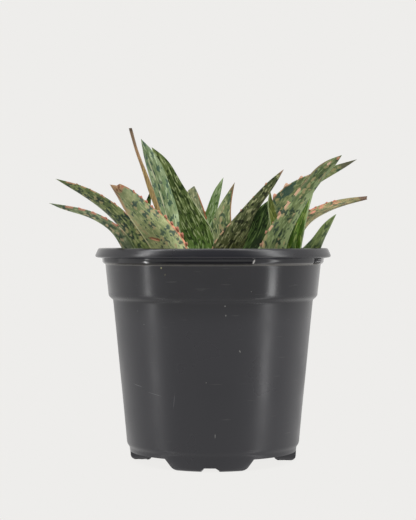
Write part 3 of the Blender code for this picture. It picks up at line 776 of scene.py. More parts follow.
# %% [markdown]
# ## Leaves
# An aloe leaf is a fleshy channel with a sharp margin on each side and soft teeth along it. The
# CAD leaf is right in size and curve, but it is made of flat facets, so each leaf is a copy of
# its CAD node, smoothed. The copy's corners lie in rings of eight, from the base to the tip.
# Once the rings are known, three things follow. The edges that only split flat facets are
# dissolved. The margins get a crease, so that smoothing leaves them sharp. And every corner
# learns its place on the skin, which the markings follow.

# %% Reading a leaf's rings
RING = 8                     # corners in a ring
FIRST, SECOND = 0, 4         # where the two margins are in a ring, once it is in order


def layers_from(start):
    """Corners in layers: the starting ones, their neighbours, the neighbours of those, and so on."""
    layer, seen, layers = set(start), set(start), []
    while layer:
        layers.append(layer)
        layer = {edge.other_vert(vert) for vert in layer for edge in vert.link_edges} - seen
        seen |= layer
    return layers


def unordered_rings(shape):
    """A leaf's rings of eight corners, base first, and the corner at its tip.

    Every edge joins corners of one ring or of two rings that touch, so a pointed leaf's rings are
    the layers round its tip. A blunt leaf has no tip corner, and its rings start from its base:
    the lower one of its two flat ends."""
    for vert in shape.verts:
        layers = layers_from([vert])
        if all(len(layer) == RING for layer in layers[1:]):
            return layers[:0:-1], vert
    flats = []
    for seed in shape.faces:
        middle = seed.calc_center_median()
        level = [face for face in shape.faces if face.normal.dot(seed.normal) > 0.9999
                 and abs((face.calc_center_median() - middle).dot(seed.normal)) < 0.01 * MM]
        flats.append({vert for face in level for vert in face.verts})
    ends = [flat for flat in flats if len(flat) == RING]
    low = min(ends, key=lambda flat: sum(vert.co.z for vert in flat))
    return layers_from(low), None


def walked_ring(ring, margin, over):
    """A ring's corners in order, walked along its edges from a margin, over one side first."""
    walk = [margin]
    while len(walk) < len(ring):
        beside = [edge.other_vert(walk[-1]) for edge in walk[-1].link_edges
                  if any(not set(face.verts) <= ring for face in edge.link_faces)]
        walk.append(max((vert for vert in beside if vert in ring and vert not in walk),
                        key=lambda vert: vert.co.dot(over)))
    return walk


def leaf_rings(shape):
    """A leaf's corners as ordered rings of eight, base first, and the tip's corner if it has one."""
    rings, tip = unordered_rings(shape)
    middles = [sum((vert.co for vert in ring), Vector()) / RING for ring in rings]
    ends = middles + [tip.co.copy() if tip else middles[-1] * 2 - middles[-2]]
    ordered, across = [], None
    for index, ring in enumerate(rings):
        along = (ends[index + 1] - ends[max(index - 1, 0)]).normalized()
        middle = middles[index]
        if across is None:
            far = max(ring, key=lambda vert: (vert.co - middle).length)
            across = far.co - middle
        margin = max(ring, key=lambda vert: (vert.co - middle).dot(across))
        other = min(ring, key=lambda vert: (vert.co - middle).dot(across))
        across = margin.co - other.co
        across = (across - along * across.dot(along)).normalized()
        ordered.append(walked_ring(ring, margin, along.cross(across)))
    return ordered, tip, ends


# %% [markdown]
# Which margin comes first in a ring depends on the mesh, so it is settled here for all leaves: the
# first margin is the one that lies more to the right and higher up, seen from the front. A few
# leaves then get small nudges: near one place of the length, a margin is moved by a millimetre or
# two, which gives a blunt shoulder, a torn corner or a straighter edge.

# %% Nudges
LEFT, RIGHT = -1, 1          # a leaf's margins, as the front view shows them
WHOLE = 0                    # both margins, and the tip
# Each ring corner's share of the half width, from the right margin round over one side.
ACROSS = (1, 0.6, 0, -0.6, -1, -0.6, 0, 0.6)
# For each leaf: the share of its length, how far the nudge spreads, the margin, and the move to
# the right and up, in mm.
NUDGES = {
    "leaf_left_inner": ((0.75, 0.5, LEFT, -0.9, 0.0), (0.75, 0.5, RIGHT, 0.4, 0.0)),
    "leaf_main_front": ((1.0, 0.1, LEFT, 0.0, 0.2), (1.0, 0.16, RIGHT, -2.0, 0.6),
                        (0.9, 0.08, LEFT, 0.8, 0.0)),
    "leaf_tall_front": ((0.1, 0.25, RIGHT, -3.0, 0.0), (0.62, 0.3, RIGHT, -1.2, -0.4)),
    "leaf_tall_rear": ((0.88, 0.2, RIGHT, 1.4, 0.6), (0.95, 0.06, LEFT, -2.2, 0.6),
                       (1.0, 0.14, WHOLE, -1.4, 0.1)),
    "leaf_pup_left": ((0.93, 0.18, LEFT, -3.6, 1.4), (0.95, 0.1, RIGHT, 0.4, 0.0)),
    "leaf_main_right": ((0.2, 0.3, LEFT, -2.4, 0.0),),
    "leaf_right_side": ((0.4, 0.4, RIGHT, 0.8, 0.0), (0.2, 0.3, LEFT, -3.0, 0.0)),
    "leaf_right_recurved": ((0.36, 0.24, RIGHT, -3.2, 1.0), (0.55, 0.4, LEFT, -0.5, 1.1),
                            (0.88, 0.3, LEFT, 0.0, 0.7)),
    "leaf_right_short": ((0.6, 0.3, LEFT, 0.4, -0.4), (0.25, 0.3, LEFT, -2.4, 0.0),
                         (0.6, 0.4, RIGHT, 0.6, 0.0)),
    "leaf_right_centre": ((0.4, 0.4, RIGHT, 0.8, 0.0), (1.0, 0.5, WHOLE, -1.3, 0.1)),
    "leaf_right_front": ((0.9, 0.15, LEFT, -0.6, 0.6), (0.94, 0.12, RIGHT, 1.2, -0.5)),
    "leaf_right_tall": ((0.55, 0.25, LEFT, -0.6, 0.8),),
}
# How far each corner of a blunt leaf's torn end stands out, in mm, round from the right margin.
TORN = (-0.3, 1.2, -0.8, 0.9, 1.0, -0.4, -1.4, 0.6)
print("nudged leaves:", len(NUDGES))

# %% [markdown]
# ### Smoothing a leaf
# The work on a leaf's copy is done in steps, with a function for each: its margins are nudged, its
# edges are dissolved or creased, and its corners' places on the skin are written down. At the end
# a subdivision rounds it. It carries the places along, so the markings fit the smooth leaf.

# %% Steps of the smoothing
def copied_leaf(node, name):
    """A merged copy of a CAD leaf."""
    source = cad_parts[node]
    made = bpy.data.objects.new(name, source.data.copy())
    bpy.context.collection.objects.link(made)
    made.data.name = name
    made.data.materials.clear()
    edit(made)
    bpy.ops.mesh.select_all(action="SELECT")
    bpy.ops.mesh.remove_doubles(threshold=0.001 * MM)
    bpy.ops.mesh.customdata_custom_splitnormals_clear()
    bpy.ops.object.mode_set(mode="OBJECT")
    return made


def nudge(moves, rings, run, length, tip):
    """Move the margins near some places of a leaf's length."""
    for at, spread, margin, right, up in moves:
        move = Vector((right, 0, up)) * MM
        for ring, distance in zip(rings, run):
            share = max(0.0, 1 - abs(distance / length - at) / spread)
            for vert, across in zip(ring, ACROSS):
                vert.co += move * share * (1 if margin == WHOLE else max(0, across * margin))
        if tip and margin == WHOLE:
            tip.co += move * max(0.0, 1 - (1 - at) / spread)


def crease(shape, rings, tip, end_way):
    """Dissolve the edges that only split flat facets, then crease what smoothing must keep."""
    sharp = shape.edges.layers.float["crease_edge"]
    rails = {frozenset((a, b)) for low, high in zip(rings, rings[1:]) for a, b in zip(low, high)}
    hoops = {frozenset((ring[k - 1], ring[k])) for ring in rings for k in range(RING)}
    spokes = {frozenset((vert, tip)) for vert in rings[-1]}
    spare = [edge for edge in shape.edges if frozenset(edge.verts) not in rails | hoops | spokes]
    bmesh.ops.dissolve_edges(shape, edges=spare, use_verts=False, use_face_split=False)
    for margin in (FIRST, SECOND):
        line = {ring[margin] for ring in rings} | {tip}
        for edge in shape.edges:
            if set(edge.verts) <= line:
                edge[sharp] = 1.0
    if tip:
        tip[shape.verts.layers.float["crease_vert"]] = 1.0
        return
    # A blunt leaf's end is torn, and its edge stays fairly sharp.
    for vert, torn in zip(rings[-1], TORN):
        vert.co += end_way.normalized() * torn * MM
        for edge in vert.link_edges:
            if frozenset(edge.verts) in hoops:
                edge[sharp] = 0.8


def mark_places(shape, rings, run, length, tip, depth):
    """Write each corner's place on the skin, its share across and its share of the length."""
    layers = shape.verts.layers
    skin, side, reach = layers.float_vector["skin_place"], layers.float["side"], layers.float["reach"]
    for ring, distance in zip(rings, run):
        half = (ring[FIRST].co - ring[SECOND].co).length / 2
        for vert, across in zip(ring, ACROSS):
            vert[skin] = Vector((across * half, distance, depth))
            vert[side] = across
            vert[reach] = distance / length
    if tip:
        tip[skin] = Vector((0, length, depth))
        tip[reach] = 1.0


# %% Smoothing a leaf
# Each leaf reads the patterns at a depth of its own, so that no two leaves are marked alike.
SKIN_STEP = 50 * MM


def smoothed_leaf(node, name, seed):
    """A smooth copy of a CAD leaf, the lines of its two margins, and its length."""
    leaf = copied_leaf(node, name)
    shape = bmesh.new()
    shape.from_mesh(leaf.data)
    shape.edges.layers.float.new("crease_edge")
    for layer in ("crease_vert", "side", "reach"):
        shape.verts.layers.float.new(layer)
    shape.verts.layers.float_vector.new("skin_place")
    shape.faces.ensure_lookup_table()
    rings, tip, ends = leaf_rings(shape)
    widest = max(rings, key=lambda ring: (ring[FIRST].co - ring[SECOND].co).length)
    lean = widest[FIRST].co - widest[SECOND].co
    if lean.x + lean.z < 0:
        rings = [ring[SECOND:] + ring[:SECOND] for ring in rings]
    run = [0.0]
    for start, end in zip(ends, ends[1:]):
        run.append(run[-1] + (end - start).length)
    length = run[-1] if tip else run[-2]
    nudge(NUDGES.get(node, ()), rings, run, length, tip)
    crease(shape, rings, tip, ends[-1] - ends[-2])
    mark_places(shape, rings, run, length, tip, seed * SKIN_STEP)
    margins = {}
    for margin, this, other in ((RIGHT, FIRST, SECOND), (LEFT, SECOND, FIRST)):
        margins[margin] = [(ring[this].co.copy(), (ring[this].co - ring[other].co).normalized())
                           for ring in rings]
    shape.to_mesh(leaf.data)
    shape.free()
    refine(leaf, "SUBSURF", levels=2, render_levels=2)
    bpy.ops.object.shade_smooth()
    return leaf, margins, length


# %% [markdown]
# ### Teeth
# The margin teeth are soft, horny humps about one millimetre high that lean towards the leaf's
# tip. One tooth is modelled as a six-sided stub, drawn out three times and pushed forward. Copies
# of it are set along a margin at an even spacing that a small random step disturbs. A tooth has
# the colour of its margin, so each rim colour gets its own horn.

# %% The tooth
HORN = "#C98A72"             # for a margin without a rim colour of its own
TOOTH_ROOT = 0.3 * MM        # how deep a tooth is sunk into the margin


def horn(rim_colour):
    """The horn of the teeth on a margin of this colour, made once for each colour."""
    name = "horny_tooth_" + rim_colour[1:]
    if name not in bpy.data.materials:
        _, tree, shader = start_material(name)
        place = add_node(tree, "TexCoord")["Object"]
        # Teeth differ from one to the next, so the tint changes over about 4 mm.
        tint = add_node(tree, "TexNoise", {"Vector": place, "Scale": 260.0})[0]
        coat(tree, shader, paint(tree, rim_colour, "#C0705A", (tint, 0.4, 0.6, 0.0, 0.5)), 0.45)
    return bpy.data.materials[name]


def margin_teeth(line, length, spacing, size, start_at, end_at, draw):
    """Copies of the tooth along one margin, between two shares of the leaf's length."""
    copies = []
    travelled, wanted = 0.0, length * start_at + spacing * draw.uniform(0.3, 0.7)
    for (start, out_start), (end, out_end) in zip(line, line[1:]):
        step = (end - start).length
        while wanted < travelled + step and wanted < length * end_at:
            share = (wanted - travelled) / step
            outward = out_start.lerp(out_end, share).normalized()
            along = (end - start).normalized()
            outward = (outward - along * outward.dot(along)).normalized()
            place = start.lerp(end, share) - outward * TOOTH_ROOT
            # Teeth grow smaller towards the tip.
            scale = size * draw.uniform(0.75, 1.2) * (1 - 0.4 * wanted / length)
            turned = Matrix((along.cross(outward), along, outward)).transposed().to_4x4()
            made = own_copy(tooth_model)
            made.data.transform(Matrix.Translation(place) @ turned @ Matrix.Scale(scale, 4))
            copies.append(made)
            wanted += spacing * draw.uniform(0.8, 1.2)
        travelled += step
    return copies


# The tooth stands up +Z, is 1 mm high and leans towards +Y.
tooth_model = stub("margin_tooth", 6, 0.55 * MM, (0.8, 2.2, 1),
                   ((0.4, 0.15, 0.8), (0.35, 0.25, 0.65), (0.25, 0.2, 0.35)))
bpy.ops.object.shade_smooth()

# %% [markdown]
# ### Leaf skin
# The waxy skin of a spotted aloe is drawn in layers. Clouds of deeper green come first, and fine
# streaks that run with the leaf. Then come the markings: short dark dashes, and dark crosses with
# a pale, oblong fleck above and below each crossing. The rims are pink, tan or cream, whole or
# broken into dashes. Every layer reads the place on the skin, in metres across and along the leaf.

# %% Two helpers for the layers
def drawn_out(tree, skin, across, along, detail):
    """Clouds drawn out along the leaf, with a scale per metre across it and one along it."""
    drawn = add_node(tree, "Mapping", {"Vector": skin, "Scale": (across, along, 60.0)})[0]
    return add_node(tree, "TexNoise", {"Vector": drawn, "Scale": 1.0, "Detail": detail})[0]


def towards(side, margin, start, full):
    """A soft step that rises towards one of the two margins."""
    return (side, start, full) if margin == RIGHT else (side, -full, -start, 1.0, 0.0)


# %% [markdown]
# Crosses don't come from a noise. The skin is divided into cells, and each cross is drawn by how
# far a place is from its cell's middle: the same on all four sides, so one quarter is enough. Each
# cell has three random numbers, which decide what shows in it and how long the arms are.

# %% Crosses and flecks
def cross_marks(tree, skin, colour, fleck, flecks, mark, crosses, *faded):
    """Dark crosses, with a pale fleck above and below each crossing."""
    # A cell is 5 mm wide and 6.5 mm long, and its border strays by a millimetre or so. Inside it,
    # places are shares of its size.
    stray = add_node(tree, "TexNoise", {"Vector": skin, "Scale": 300.0})["Color"]
    strayed = add_node(tree, "VectorMath", {0: stray, 1: (2.6 * MM,) * 3, 2: skin},
                       operation="MULTIPLY_ADD")[0]
    strayed = add_node(tree, "Mapping", {"Vector": strayed, "Scale": (200.0, 154.0, 60.0)})[0]
    cell = add_node(tree, "TexVoronoi", {"Vector": strayed, "Scale": 1.0, "Randomness": 0.65})
    inside = add_node(tree, "VectorMath", {0: strayed, 1: cell["Position"]},
                      operation="SUBTRACT")[0]
    inside = add_node(tree, "VectorMath", {0: inside}, operation="ABSOLUTE")[0]
    across, along, _ = add_node(tree, "SeparateXYZ", {0: inside})
    chosen = add_node(tree, "SeparateColor", {0: cell["Color"]})
    # A fleck is an ellipse on the cell's middle line.
    fleck_place = add_node(tree, "Mapping", {"Vector": inside, "Location": (0.0, 0.28, 0.0),
                                             "Scale": (0.12, 0.25, 1000.0)},
                           vector_type="TEXTURE")[0]
    fleck_far = add_node(tree, "VectorMath", {0: fleck_place, 1: fleck_place},
                         operation="DOT_PRODUCT")["Value"]
    colour = paint(tree, colour, fleck, (fleck_far, 0.5, 1.3, 1.0, 0.0),
                   (chosen[1], 0.98 - flecks, 1.02 - flecks), 0.75)
    # A cross is two arms that lean outwards and differ in length, and a bar.
    lean = add_node(tree, "Math", {0: along, 1: 0.2, 2: 0.13}, operation="MULTIPLY_ADD")[0]
    off_arm = add_node(tree, "Math", {0: across, 1: lean}, operation="SUBTRACT")[0]
    off_arm = add_node(tree, "Math", {0: off_arm}, operation="ABSOLUTE")[0]
    arm_end = add_node(tree, "Math", {0: chosen[2], 1: 0.22, 2: along},
                       operation="MULTIPLY_ADD")[0]
    arm = graded(tree, (off_arm, 0.07, 0.13, 1.0, 0.0), (arm_end, 0.3, 0.44, 1.0, 0.0))
    bar = graded(tree, (along, 0.06, 0.12, 1.0, 0.0), (across, 0.22, 0.3, 1.0, 0.0))
    cross = add_node(tree, "Math", {0: arm, 1: bar}, operation="MAXIMUM")[0]
    patchy = drawn_out(tree, skin, 600.0, 380.0, 0.0)
    return paint(tree, colour, mark, cross, (chosen[0], 0.98 - crosses, 1.02 - crosses),
                 (patchy, 0.3, 0.42, 0.3, 1.0), *faded, 0.9)


# %% [markdown]
# A rim follows the margin at a width in millimetres, so it needs the way to the nearest margin.
# The dashes of a broken rim are a wave along the leaf.

# %% Rims
def rim_lines(tree, skin, side, reach, cloud, colour, rims):
    """The coloured rims of a leaf, whole or in dashes that the clouds make uneven."""
    # The place across, divided by its share of the half width, gives that half width.
    place_across, place_along, _ = add_node(tree, "SeparateXYZ", {0: skin})
    half_width = add_node(tree, "Math", {0: place_across, 1: side}, operation="DIVIDE")[0]
    off_middle = add_node(tree, "Math", {0: place_across}, operation="ABSOLUTE")[0]
    to_edge = add_node(tree, "Math", {0: half_width, 1: off_middle}, operation="SUBTRACT")[0]
    wander = add_node(tree, "Math", {0: cloud, 1: 9.0}, operation="MULTIPLY")[0]
    for margin, rim, strength, width, dash, start_at, end_at in rims:
        shown = [(to_edge, 0.6 * width * MM, width * MM, 1.0, 0.0), towards(side, margin, 0.2, 0.4),
                 (reach, start_at - 0.06, start_at + 0.02), (reach, end_at, end_at + 0.1, 1.0, 0.0)]
        if dash:
            wave = add_node(tree, "Math", {0: place_along, 1: 2 * pi / (dash * MM), 2: wander},
                            operation="MULTIPLY_ADD")[0]
            wave = add_node(tree, "Math", {0: wave}, operation="SINE")[0]
            shown.append((wave, -0.3, 0.1))
        colour = paint(tree, colour, rim, *shown, strength)
    return colour


# %% [markdown]
# The skin puts the layers together in the order in which they hide one another. Every leaf has
# the clouds, the streaks and the dashes. The other layers are drawn where a leaf asks for them.

# %% Leaf skin material
def leaf_skin(name, ground, deep, pale, mark, fleck="#B9AE8A", streaks=0.6, dashes=0.3, crosses=0.0,
              flecks=0.0, rims=(), flank=0.0, keel=None, foot=None, tones=(1.0, 1.0), base=1.0,
              tip=None, tip_from=0.965, run=300.0, wax=0.2, blemishes=()):
    """A waxy spotted skin.

    streaks, dashes, crosses and flecks say how much of each layer shows, and run is the streaks'
    scale along the leaf, per metre. Each rim has a margin, a colour, a strength, a width and a
    dash length in mm (0 for a whole rim), and the shares of the length where it starts and ends.
    flank is painted light: how pale it makes the right side, or the left one if it is negative. keel
    is a place across and a colour: a pale line, partly the keel's own pale edge and partly a painted
    highlight along its ridge. foot is a colour and its strength, painted near the stem: by default
    the deep colour as painted shade, and in several skins a paler colour as painted light. tones are
    painted light and shade that make the lower and the upper part lighter or darker, and base is
    painted shade on the part next to the stem. A dry tip is a colour and the share of the length
    where it starts. A blemish is an ellipse: its place across and along, two half sizes in mm, a turn
    in degrees, a colour and a strength."""
    made, tree, shader = start_material(name)
    skin = add_node(tree, "Attribute", attribute_name="skin_place")["Vector"]
    side = add_node(tree, "Attribute", attribute_name="side")["Fac"]
    reach = add_node(tree, "Attribute", attribute_name="reach")["Fac"]
    # Clouds are about 5 mm wide and 11 mm long, streaks 0.6 mm wide and 3 mm long.
    cloud = drawn_out(tree, skin, 220.0, 90.0, 2.0)
    streak = drawn_out(tree, skin, 1300.0, run, 2.0)
    colour = paint(tree, deep, ground, (cloud, 0.38, 0.62))
    faded = []               # the crosses fade on the side with painted light
    # The flank is painted light: one side of the leaf is made paler, as the side that faces a light.
    if flank:
        painted_light_side = graded(tree, towards(side, RIGHT if flank > 0 else LEFT, 0.1, 0.7))
        faded = [(painted_light_side, 0.0, 1.0, 1.0, 0.15)]
        colour = paint(tree, colour, pale, painted_light_side, abs(flank))
    # Near the stem the foot colour is painted: painted shade by default, and painted light where a
    # skin gives a paler colour.
    foot_colour, foot_strength = foot or (deep, 0.35)
    colour = paint(tree, colour, foot_colour, (reach, 0.12, 0.5, 1.0, 0.0), foot_strength)
    colour = paint(tree, colour, pale, (streak, 0.52, 0.64), streaks)
    colour = paint(tree, colour, deep, (streak, 0.35, 0.47, 1.0, 0.0), streaks)
    # Dashes are 1 mm wide and 2.5 mm long.
    level = 0.66 - 0.16 * dashes
    dash = drawn_out(tree, skin, 700.0, 270.0, 1.0)
    colour = paint(tree, colour, mark, (dash, level, level + 0.05), 0.85)
    if crosses:
        colour = cross_marks(tree, skin, colour, fleck, flecks, mark, crosses, *faded)
    # The keel line is partly the keel's own pale edge and partly a painted highlight along its ridge.
    if keel:
        keel_side, keel_colour = keel
        off_keel = add_node(tree, "Math", {0: side, 1: keel_side}, operation="SUBTRACT")[0]
        off_keel = add_node(tree, "Math", {0: off_keel}, operation="ABSOLUTE")[0]
        colour = paint(tree, colour, keel_colour, (off_keel, 0.02, 0.055, 1.0, 0.0),
                       (cloud, 0.4, 0.5), 0.85)
    colour = rim_lines(tree, skin, side, reach, cloud, colour, rims)
    if tip:
        dry = add_node(tree, "Math", {0: streak, 1: 0.06, 2: reach}, operation="MULTIPLY_ADD")[0]
        colour = paint(tree, colour, tip, (dry, tip_from + 0.02, tip_from + 0.05))
    for across, along, half_across, half_along, turned, spot_colour, strength in blemishes:
        far = ragged_spot(tree, skin, (across * MM, along * MM, 0.0), (0.0, 0.0, radians(turned)),
                          (half_across * MM, half_along * MM, 1000.0), streak, 0.9)
        colour = paint(tree, colour, spot_colour, (far, 1.1, 1.5, 1.0, 0.0), strength)
    # Painted light and shade: tones lighten or darken the lower and the upper part, and base darkens
    # the part next to the stem.
    painted_shading = add_node(tree, "MapRange", {0: reach, 1: 0.25, 2: 0.95, 3: tones[0], 4: tones[1]})[0]
    painted_shading = graded(tree, painted_shading, (reach, 0.14, 0.29, base, 1.0))
    colour = add_node(tree, "Mix", {0: 1.0, 6: colour, 7: painted_shading}, data_type="RGBA",
                      blend_type="MULTIPLY")[2]
    coat(tree, shader, colour, graded(tree, (streak, 0.3, 0.7, 0.42, 0.55)), streak, 0.3, 0.12)
    shader.inputs["Specular IOR Level"].default_value = wax
    return made


# %% [markdown]
# Leaves of one clump differ: young ones are bright and plain, those in full light are olive with
# strong marks, and one old leaf has lost its tip. Each skin below is one such state, except the shade
# skin, which is painted shade: a darker copy of the greens for leaves deep among the others.

# %% The skins
# For each skin: its ground, deep, pale and mark colours, and the layers that it adds.
SKINS = {
    "low": ("#8C9770", "#657456", "#B7BE94", "#425446", dict(
        fleck="#C2B08D", streaks=0.6, dashes=0.3, crosses=0.6, flecks=0.5, tones=(1.3, 0.85),
        foot=("#8E9A84", 0.7),
        rims=((RIGHT, "#CF8E78", 0.7, 0.8, 6.0, 0.45, 0.85),
              # The second rim is painted shade: it darkens the lower right margin, which would
              # otherwise catch the light.
              (RIGHT, "#5A6846", 0.9, 1.0, 0.0, 0.0, 0.36)))),
    "olive": ("#6F794E", "#505D39", "#8F9365", "#22322C", dict(
        fleck="#968D65", streaks=0.9, dashes=0.5, crosses=0.85, flecks=0.6, run=220.0,
        tones=(1.2, 0.95), foot=("#6E7C50", 0.5),
        rims=((RIGHT, "#B9886A", 0.6, 0.5, 6.0, 0.35, 1.0),))),
    "pale": ("#9AA272", "#7B8B5E", "#B8BC8C", "#41554A", dict(
        fleck="#AFA078", streaks=0.7, dashes=0.25, crosses=0.75, flecks=0.8, flank=-0.35,
        tones=(1.9, 0.64), base=0.36, foot=("#DAE2AE", 0.95), tip="#B3906A", tip_from=0.955,
        rims=((RIGHT, "#C9876C", 0.9, 1.1, 0.0, 0.0, 0.45),
              (RIGHT, "#B97C5C", 0.85, 0.6, 4.6, 0.5, 1.0),
              (LEFT, "#CBC79C", 0.7, 0.8, 0.0, 0.0, 0.75),
              (LEFT, "#B08F6C", 0.8, 1.6, 0.0, 0.78, 1.0)),
        blemishes=((-3.3, 30.7, 3.6, 1.1, -43, "#93604A", 0.95),
                   (-3.6, 30.2, 2.4, 0.5, -48, "#DDAE88", 0.95),
                   (-2.6, 63.6, 0.4, 2.0, 20, "#6E4E36", 0.9),
                   (-1.2, 64.8, 0.4, 1.3, -25, "#7A5638", 0.9),
                   (0.3, 64.4, 0.4, 1.6, 10, "#6E4E36", 0.85),
                   (-3.2, 61.0, 0.4, 1.8, 15, "#8A6548", 0.8),
                   (1.0, 65.9, 0.9, 0.5, 0, "#7E4E34", 0.9),
                   (2.4, 64.4, 0.8, 1.0, 40, "#B56A4A", 0.8)))),
    "milky": ("#8C9C72", "#70875D", "#B2C49C", "#3C584A", dict(
        streaks=1.0, dashes=0.6, crosses=0.2, run=150.0, tones=(1.2, 0.66), foot=("#C2CF9C", 0.7),
        keel=(-0.3, "#EDE8C6"))),
    "streaked": ("#637242", "#415127", "#9AA675", "#223116", dict(
        streaks=1.0, dashes=0.7, run=170.0, wax=0.1, foot=("#4F7A26", 0.45),
        rims=((RIGHT, "#B9C296", 0.7, 0.5, 0.0, 0.0, 0.42),))),
    "fringed": ("#A7A880", "#77805A", "#DAD6AD", "#56634F", dict(
        dashes=0.5, tones=(1.3, 0.8),
        rims=((RIGHT, "#B9754E", 0.9, 0.9, 0.0, 0.0, 1.0),))),
    "bright": ("#97AE7B", "#628141", "#C0D4A8", "#436434", dict(
        streaks=0.9, dashes=0.45, run=220.0, tones=(1.15, 0.8))),
    "mottled": ("#98A275", "#6D7F51", "#C8CE9B", "#435B46", dict(
        fleck="#BDAA82", streaks=0.8, dashes=0.4, crosses=0.6, flecks=0.6, tones=(1.25, 0.78),
        tip="#8E7A58", tip_from=0.9,
        rims=((RIGHT, "#C08A6A", 0.8, 0.7, 0.0, 0.0, 0.9),))),
    "dusky": ("#616844", "#3E462A", "#979970", "#1A1F14", dict(
        streaks=0.85, dashes=0.65, run=220.0, wax=0.12, tones=(1.15, 1.1), foot=("#54562F", 0.6),
        tip="#7A604A", tip_from=0.95,
        rims=((LEFT, "#B08A6E", 0.7, 0.6, 5.0, 0.0, 0.42),))),
    # The shade skin is painted shade: its greens are darkened for leaves that others shade.
    "shade": ("#394E23", "#17270D", "#6C834C", "#0A1506", dict(
        streaks=0.65, dashes=0.45, run=110.0, wax=0.06,
        rims=((LEFT, "#5F7A44", 0.7, 0.7, 0.0, 0.0, 0.8),))),
    "centre": ("#75803F", "#556026", "#949D59", "#3E5120", dict(
        streaks=0.8, dashes=0.5, tones=(1.2, 0.8),
        rims=((LEFT, "#A9B98A", 0.7, 0.7, 0.0, 0.0, 1.0),))),
    "flanked": ("#707E51", "#4F603A", "#90A071", "#2C3C30", dict(
        fleck="#A0956B", streaks=0.8, dashes=0.4, crosses=0.7, flecks=0.5, flank=0.8, run=220.0,
        tones=(1.4, 0.62), foot=("#7C8A5E", 0.5),
        rims=((LEFT, "#C9A284", 0.85, 1.2, 7.0, 0.0, 0.64),
              (LEFT, "#86704E", 0.6, 0.7, 0.0, 0.68, 1.0)),
        blemishes=((-1.0, 67.5, 0.7, 1.5, 0, "#D9B9A0", 0.9),
                   (0.0, 73.0, 0.6, 1.0, 0, "#C98F70", 0.9)))),
    "patched": ("#747C50", "#556440", "#90966B", "#32493B", dict(
        fleck="#958960", streaks=0.8, dashes=0.4, crosses=0.6, flecks=0.5, tones=(1.25, 0.75),
        tip="#5C5C46", tip_from=0.88,
        rims=((LEFT, "#C4A184", 0.6, 0.6, 5.0, 0.3, 0.7),),
        blemishes=((-3.1, 40.0, 2.6, 4.4, 0, "#2B443C", 0.85),))),
    "vivid": ("#567B1D", "#37570A", "#95A359", "#2A4105", dict(
        streaks=0.9, dashes=0.45, run=170.0,
        rims=((RIGHT, "#B0C092", 0.6, 0.8, 0.0, 0.0, 1.0),))),
    "blushed": ("#8B865B", "#71734A", "#A7996F", "#49523A", dict(
        fleck="#AF8464", streaks=0.7, dashes=0.45, crosses=0.75, flecks=0.7, tones=(1.25, 0.78),
        tip="#6E5644", tip_from=0.95,
        rims=((LEFT, "#C47C64", 0.85, 1.3, 6.5, 0.3, 0.75),
              (RIGHT, "#B09070", 0.5, 0.5, 7.0, 0.3, 0.9)),
        blemishes=((-1.6, 40.5, 0.9, 2.2, 0, "#D08A74", 0.9),
                   (-1.8, 46.5, 0.9, 2.0, 0, "#C8846C", 0.85),
                   (-0.8, 55.5, 0.9, 3.0, 0, "#B98A66", 0.8)))),
    "plain": ("#6B7B48", "#4C5C37", "#869161", "#37472E", dict(
        streaks=0.7, dashes=0.35, crosses=0.3, tones=(1.15, 1.1))),
}
skins = {name: leaf_skin("aloe_skin_" + name, *colours, **layers)
         for name, (*colours, layers) in SKINS.items()}
print("leaf skins:", len(skins))

# %% [markdown]
# ### Dressing every leaf
# Each line names a CAD leaf's skin, then for each margin with teeth their spacing and size, and
# the shares of the leaf's length where they start and end. A size of 1 is a tooth 1 mm high.

# %% The leaves
# The leaves at the sides and the back have teeth on both margins.
HIDDEN_TEETH = {LEFT: (4.4, 1.1, 0.1, 0.9), RIGHT: (4.4, 1.1, 0.1, 0.9)}
LEAVES = {
    "leaf_left_low": ("low", {RIGHT: (6.5, 1.0, 0.45, 0.85)}),
    "leaf_left_high": ("olive", {RIGHT: (8.0, 0.9, 0.35, 0.9)}),
    "leaf_left_inner": ("shade", {}),
    "leaf_left_rear": ("low", HIDDEN_TEETH),
    "leaf_left_back": ("olive", HIDDEN_TEETH),
    "leaf_left_front": ("low", HIDDEN_TEETH),
    "leaf_main_front": ("pale", {RIGHT: (4.6, 1.5, 0.1, 0.97)}),
    "leaf_tall_front": ("milky", {}),
    "leaf_tall_rear": ("streaked", {}),
    "leaf_main_right": ("dusky", {LEFT: (9.0, 1.0, 0.5, 0.9)}),
    "leaf_main_inner": ("shade", {}),
    "leaf_main_low": ("olive", HIDDEN_TEETH),
    "leaf_main_rear": ("fringed", HIDDEN_TEETH),
    "leaf_pup_left": ("fringed", {RIGHT: (3.0, 0.8, 0.3, 0.8)}),
    "leaf_pup_centre": ("bright", {}),
    "leaf_pup_right": ("mottled", {}),
    "leaf_pup_rear": ("low", HIDDEN_TEETH),
    "leaf_pup_side": ("olive", HIDDEN_TEETH),
    "leaf_pup_back": ("mottled", HIDDEN_TEETH),
    "leaf_right_front": ("flanked", {LEFT: (6.0, 1.1, 0.1, 0.6)}),
    "leaf_right_across": ("olive", HIDDEN_TEETH),
    "leaf_right_tall": ("patched", {LEFT: (8.6, 1.7, 0.44, 0.75)}),
    "leaf_right_centre": ("centre", {}),
    "leaf_right_side": ("vivid", {}),
    "leaf_right_recurved": ("blushed", {LEFT: (6.0, 1.2, 0.35, 0.8)}),
    "leaf_right_short": ("plain", {}),
    "leaf_right_low": ("olive", HIDDEN_TEETH),
    "leaf_right_back": ("shade", HIDDEN_TEETH),
    "leaf_right_inner": ("low", HIDDEN_TEETH),
    "leaf_right_rear": ("olive", HIDDEN_TEETH),
}
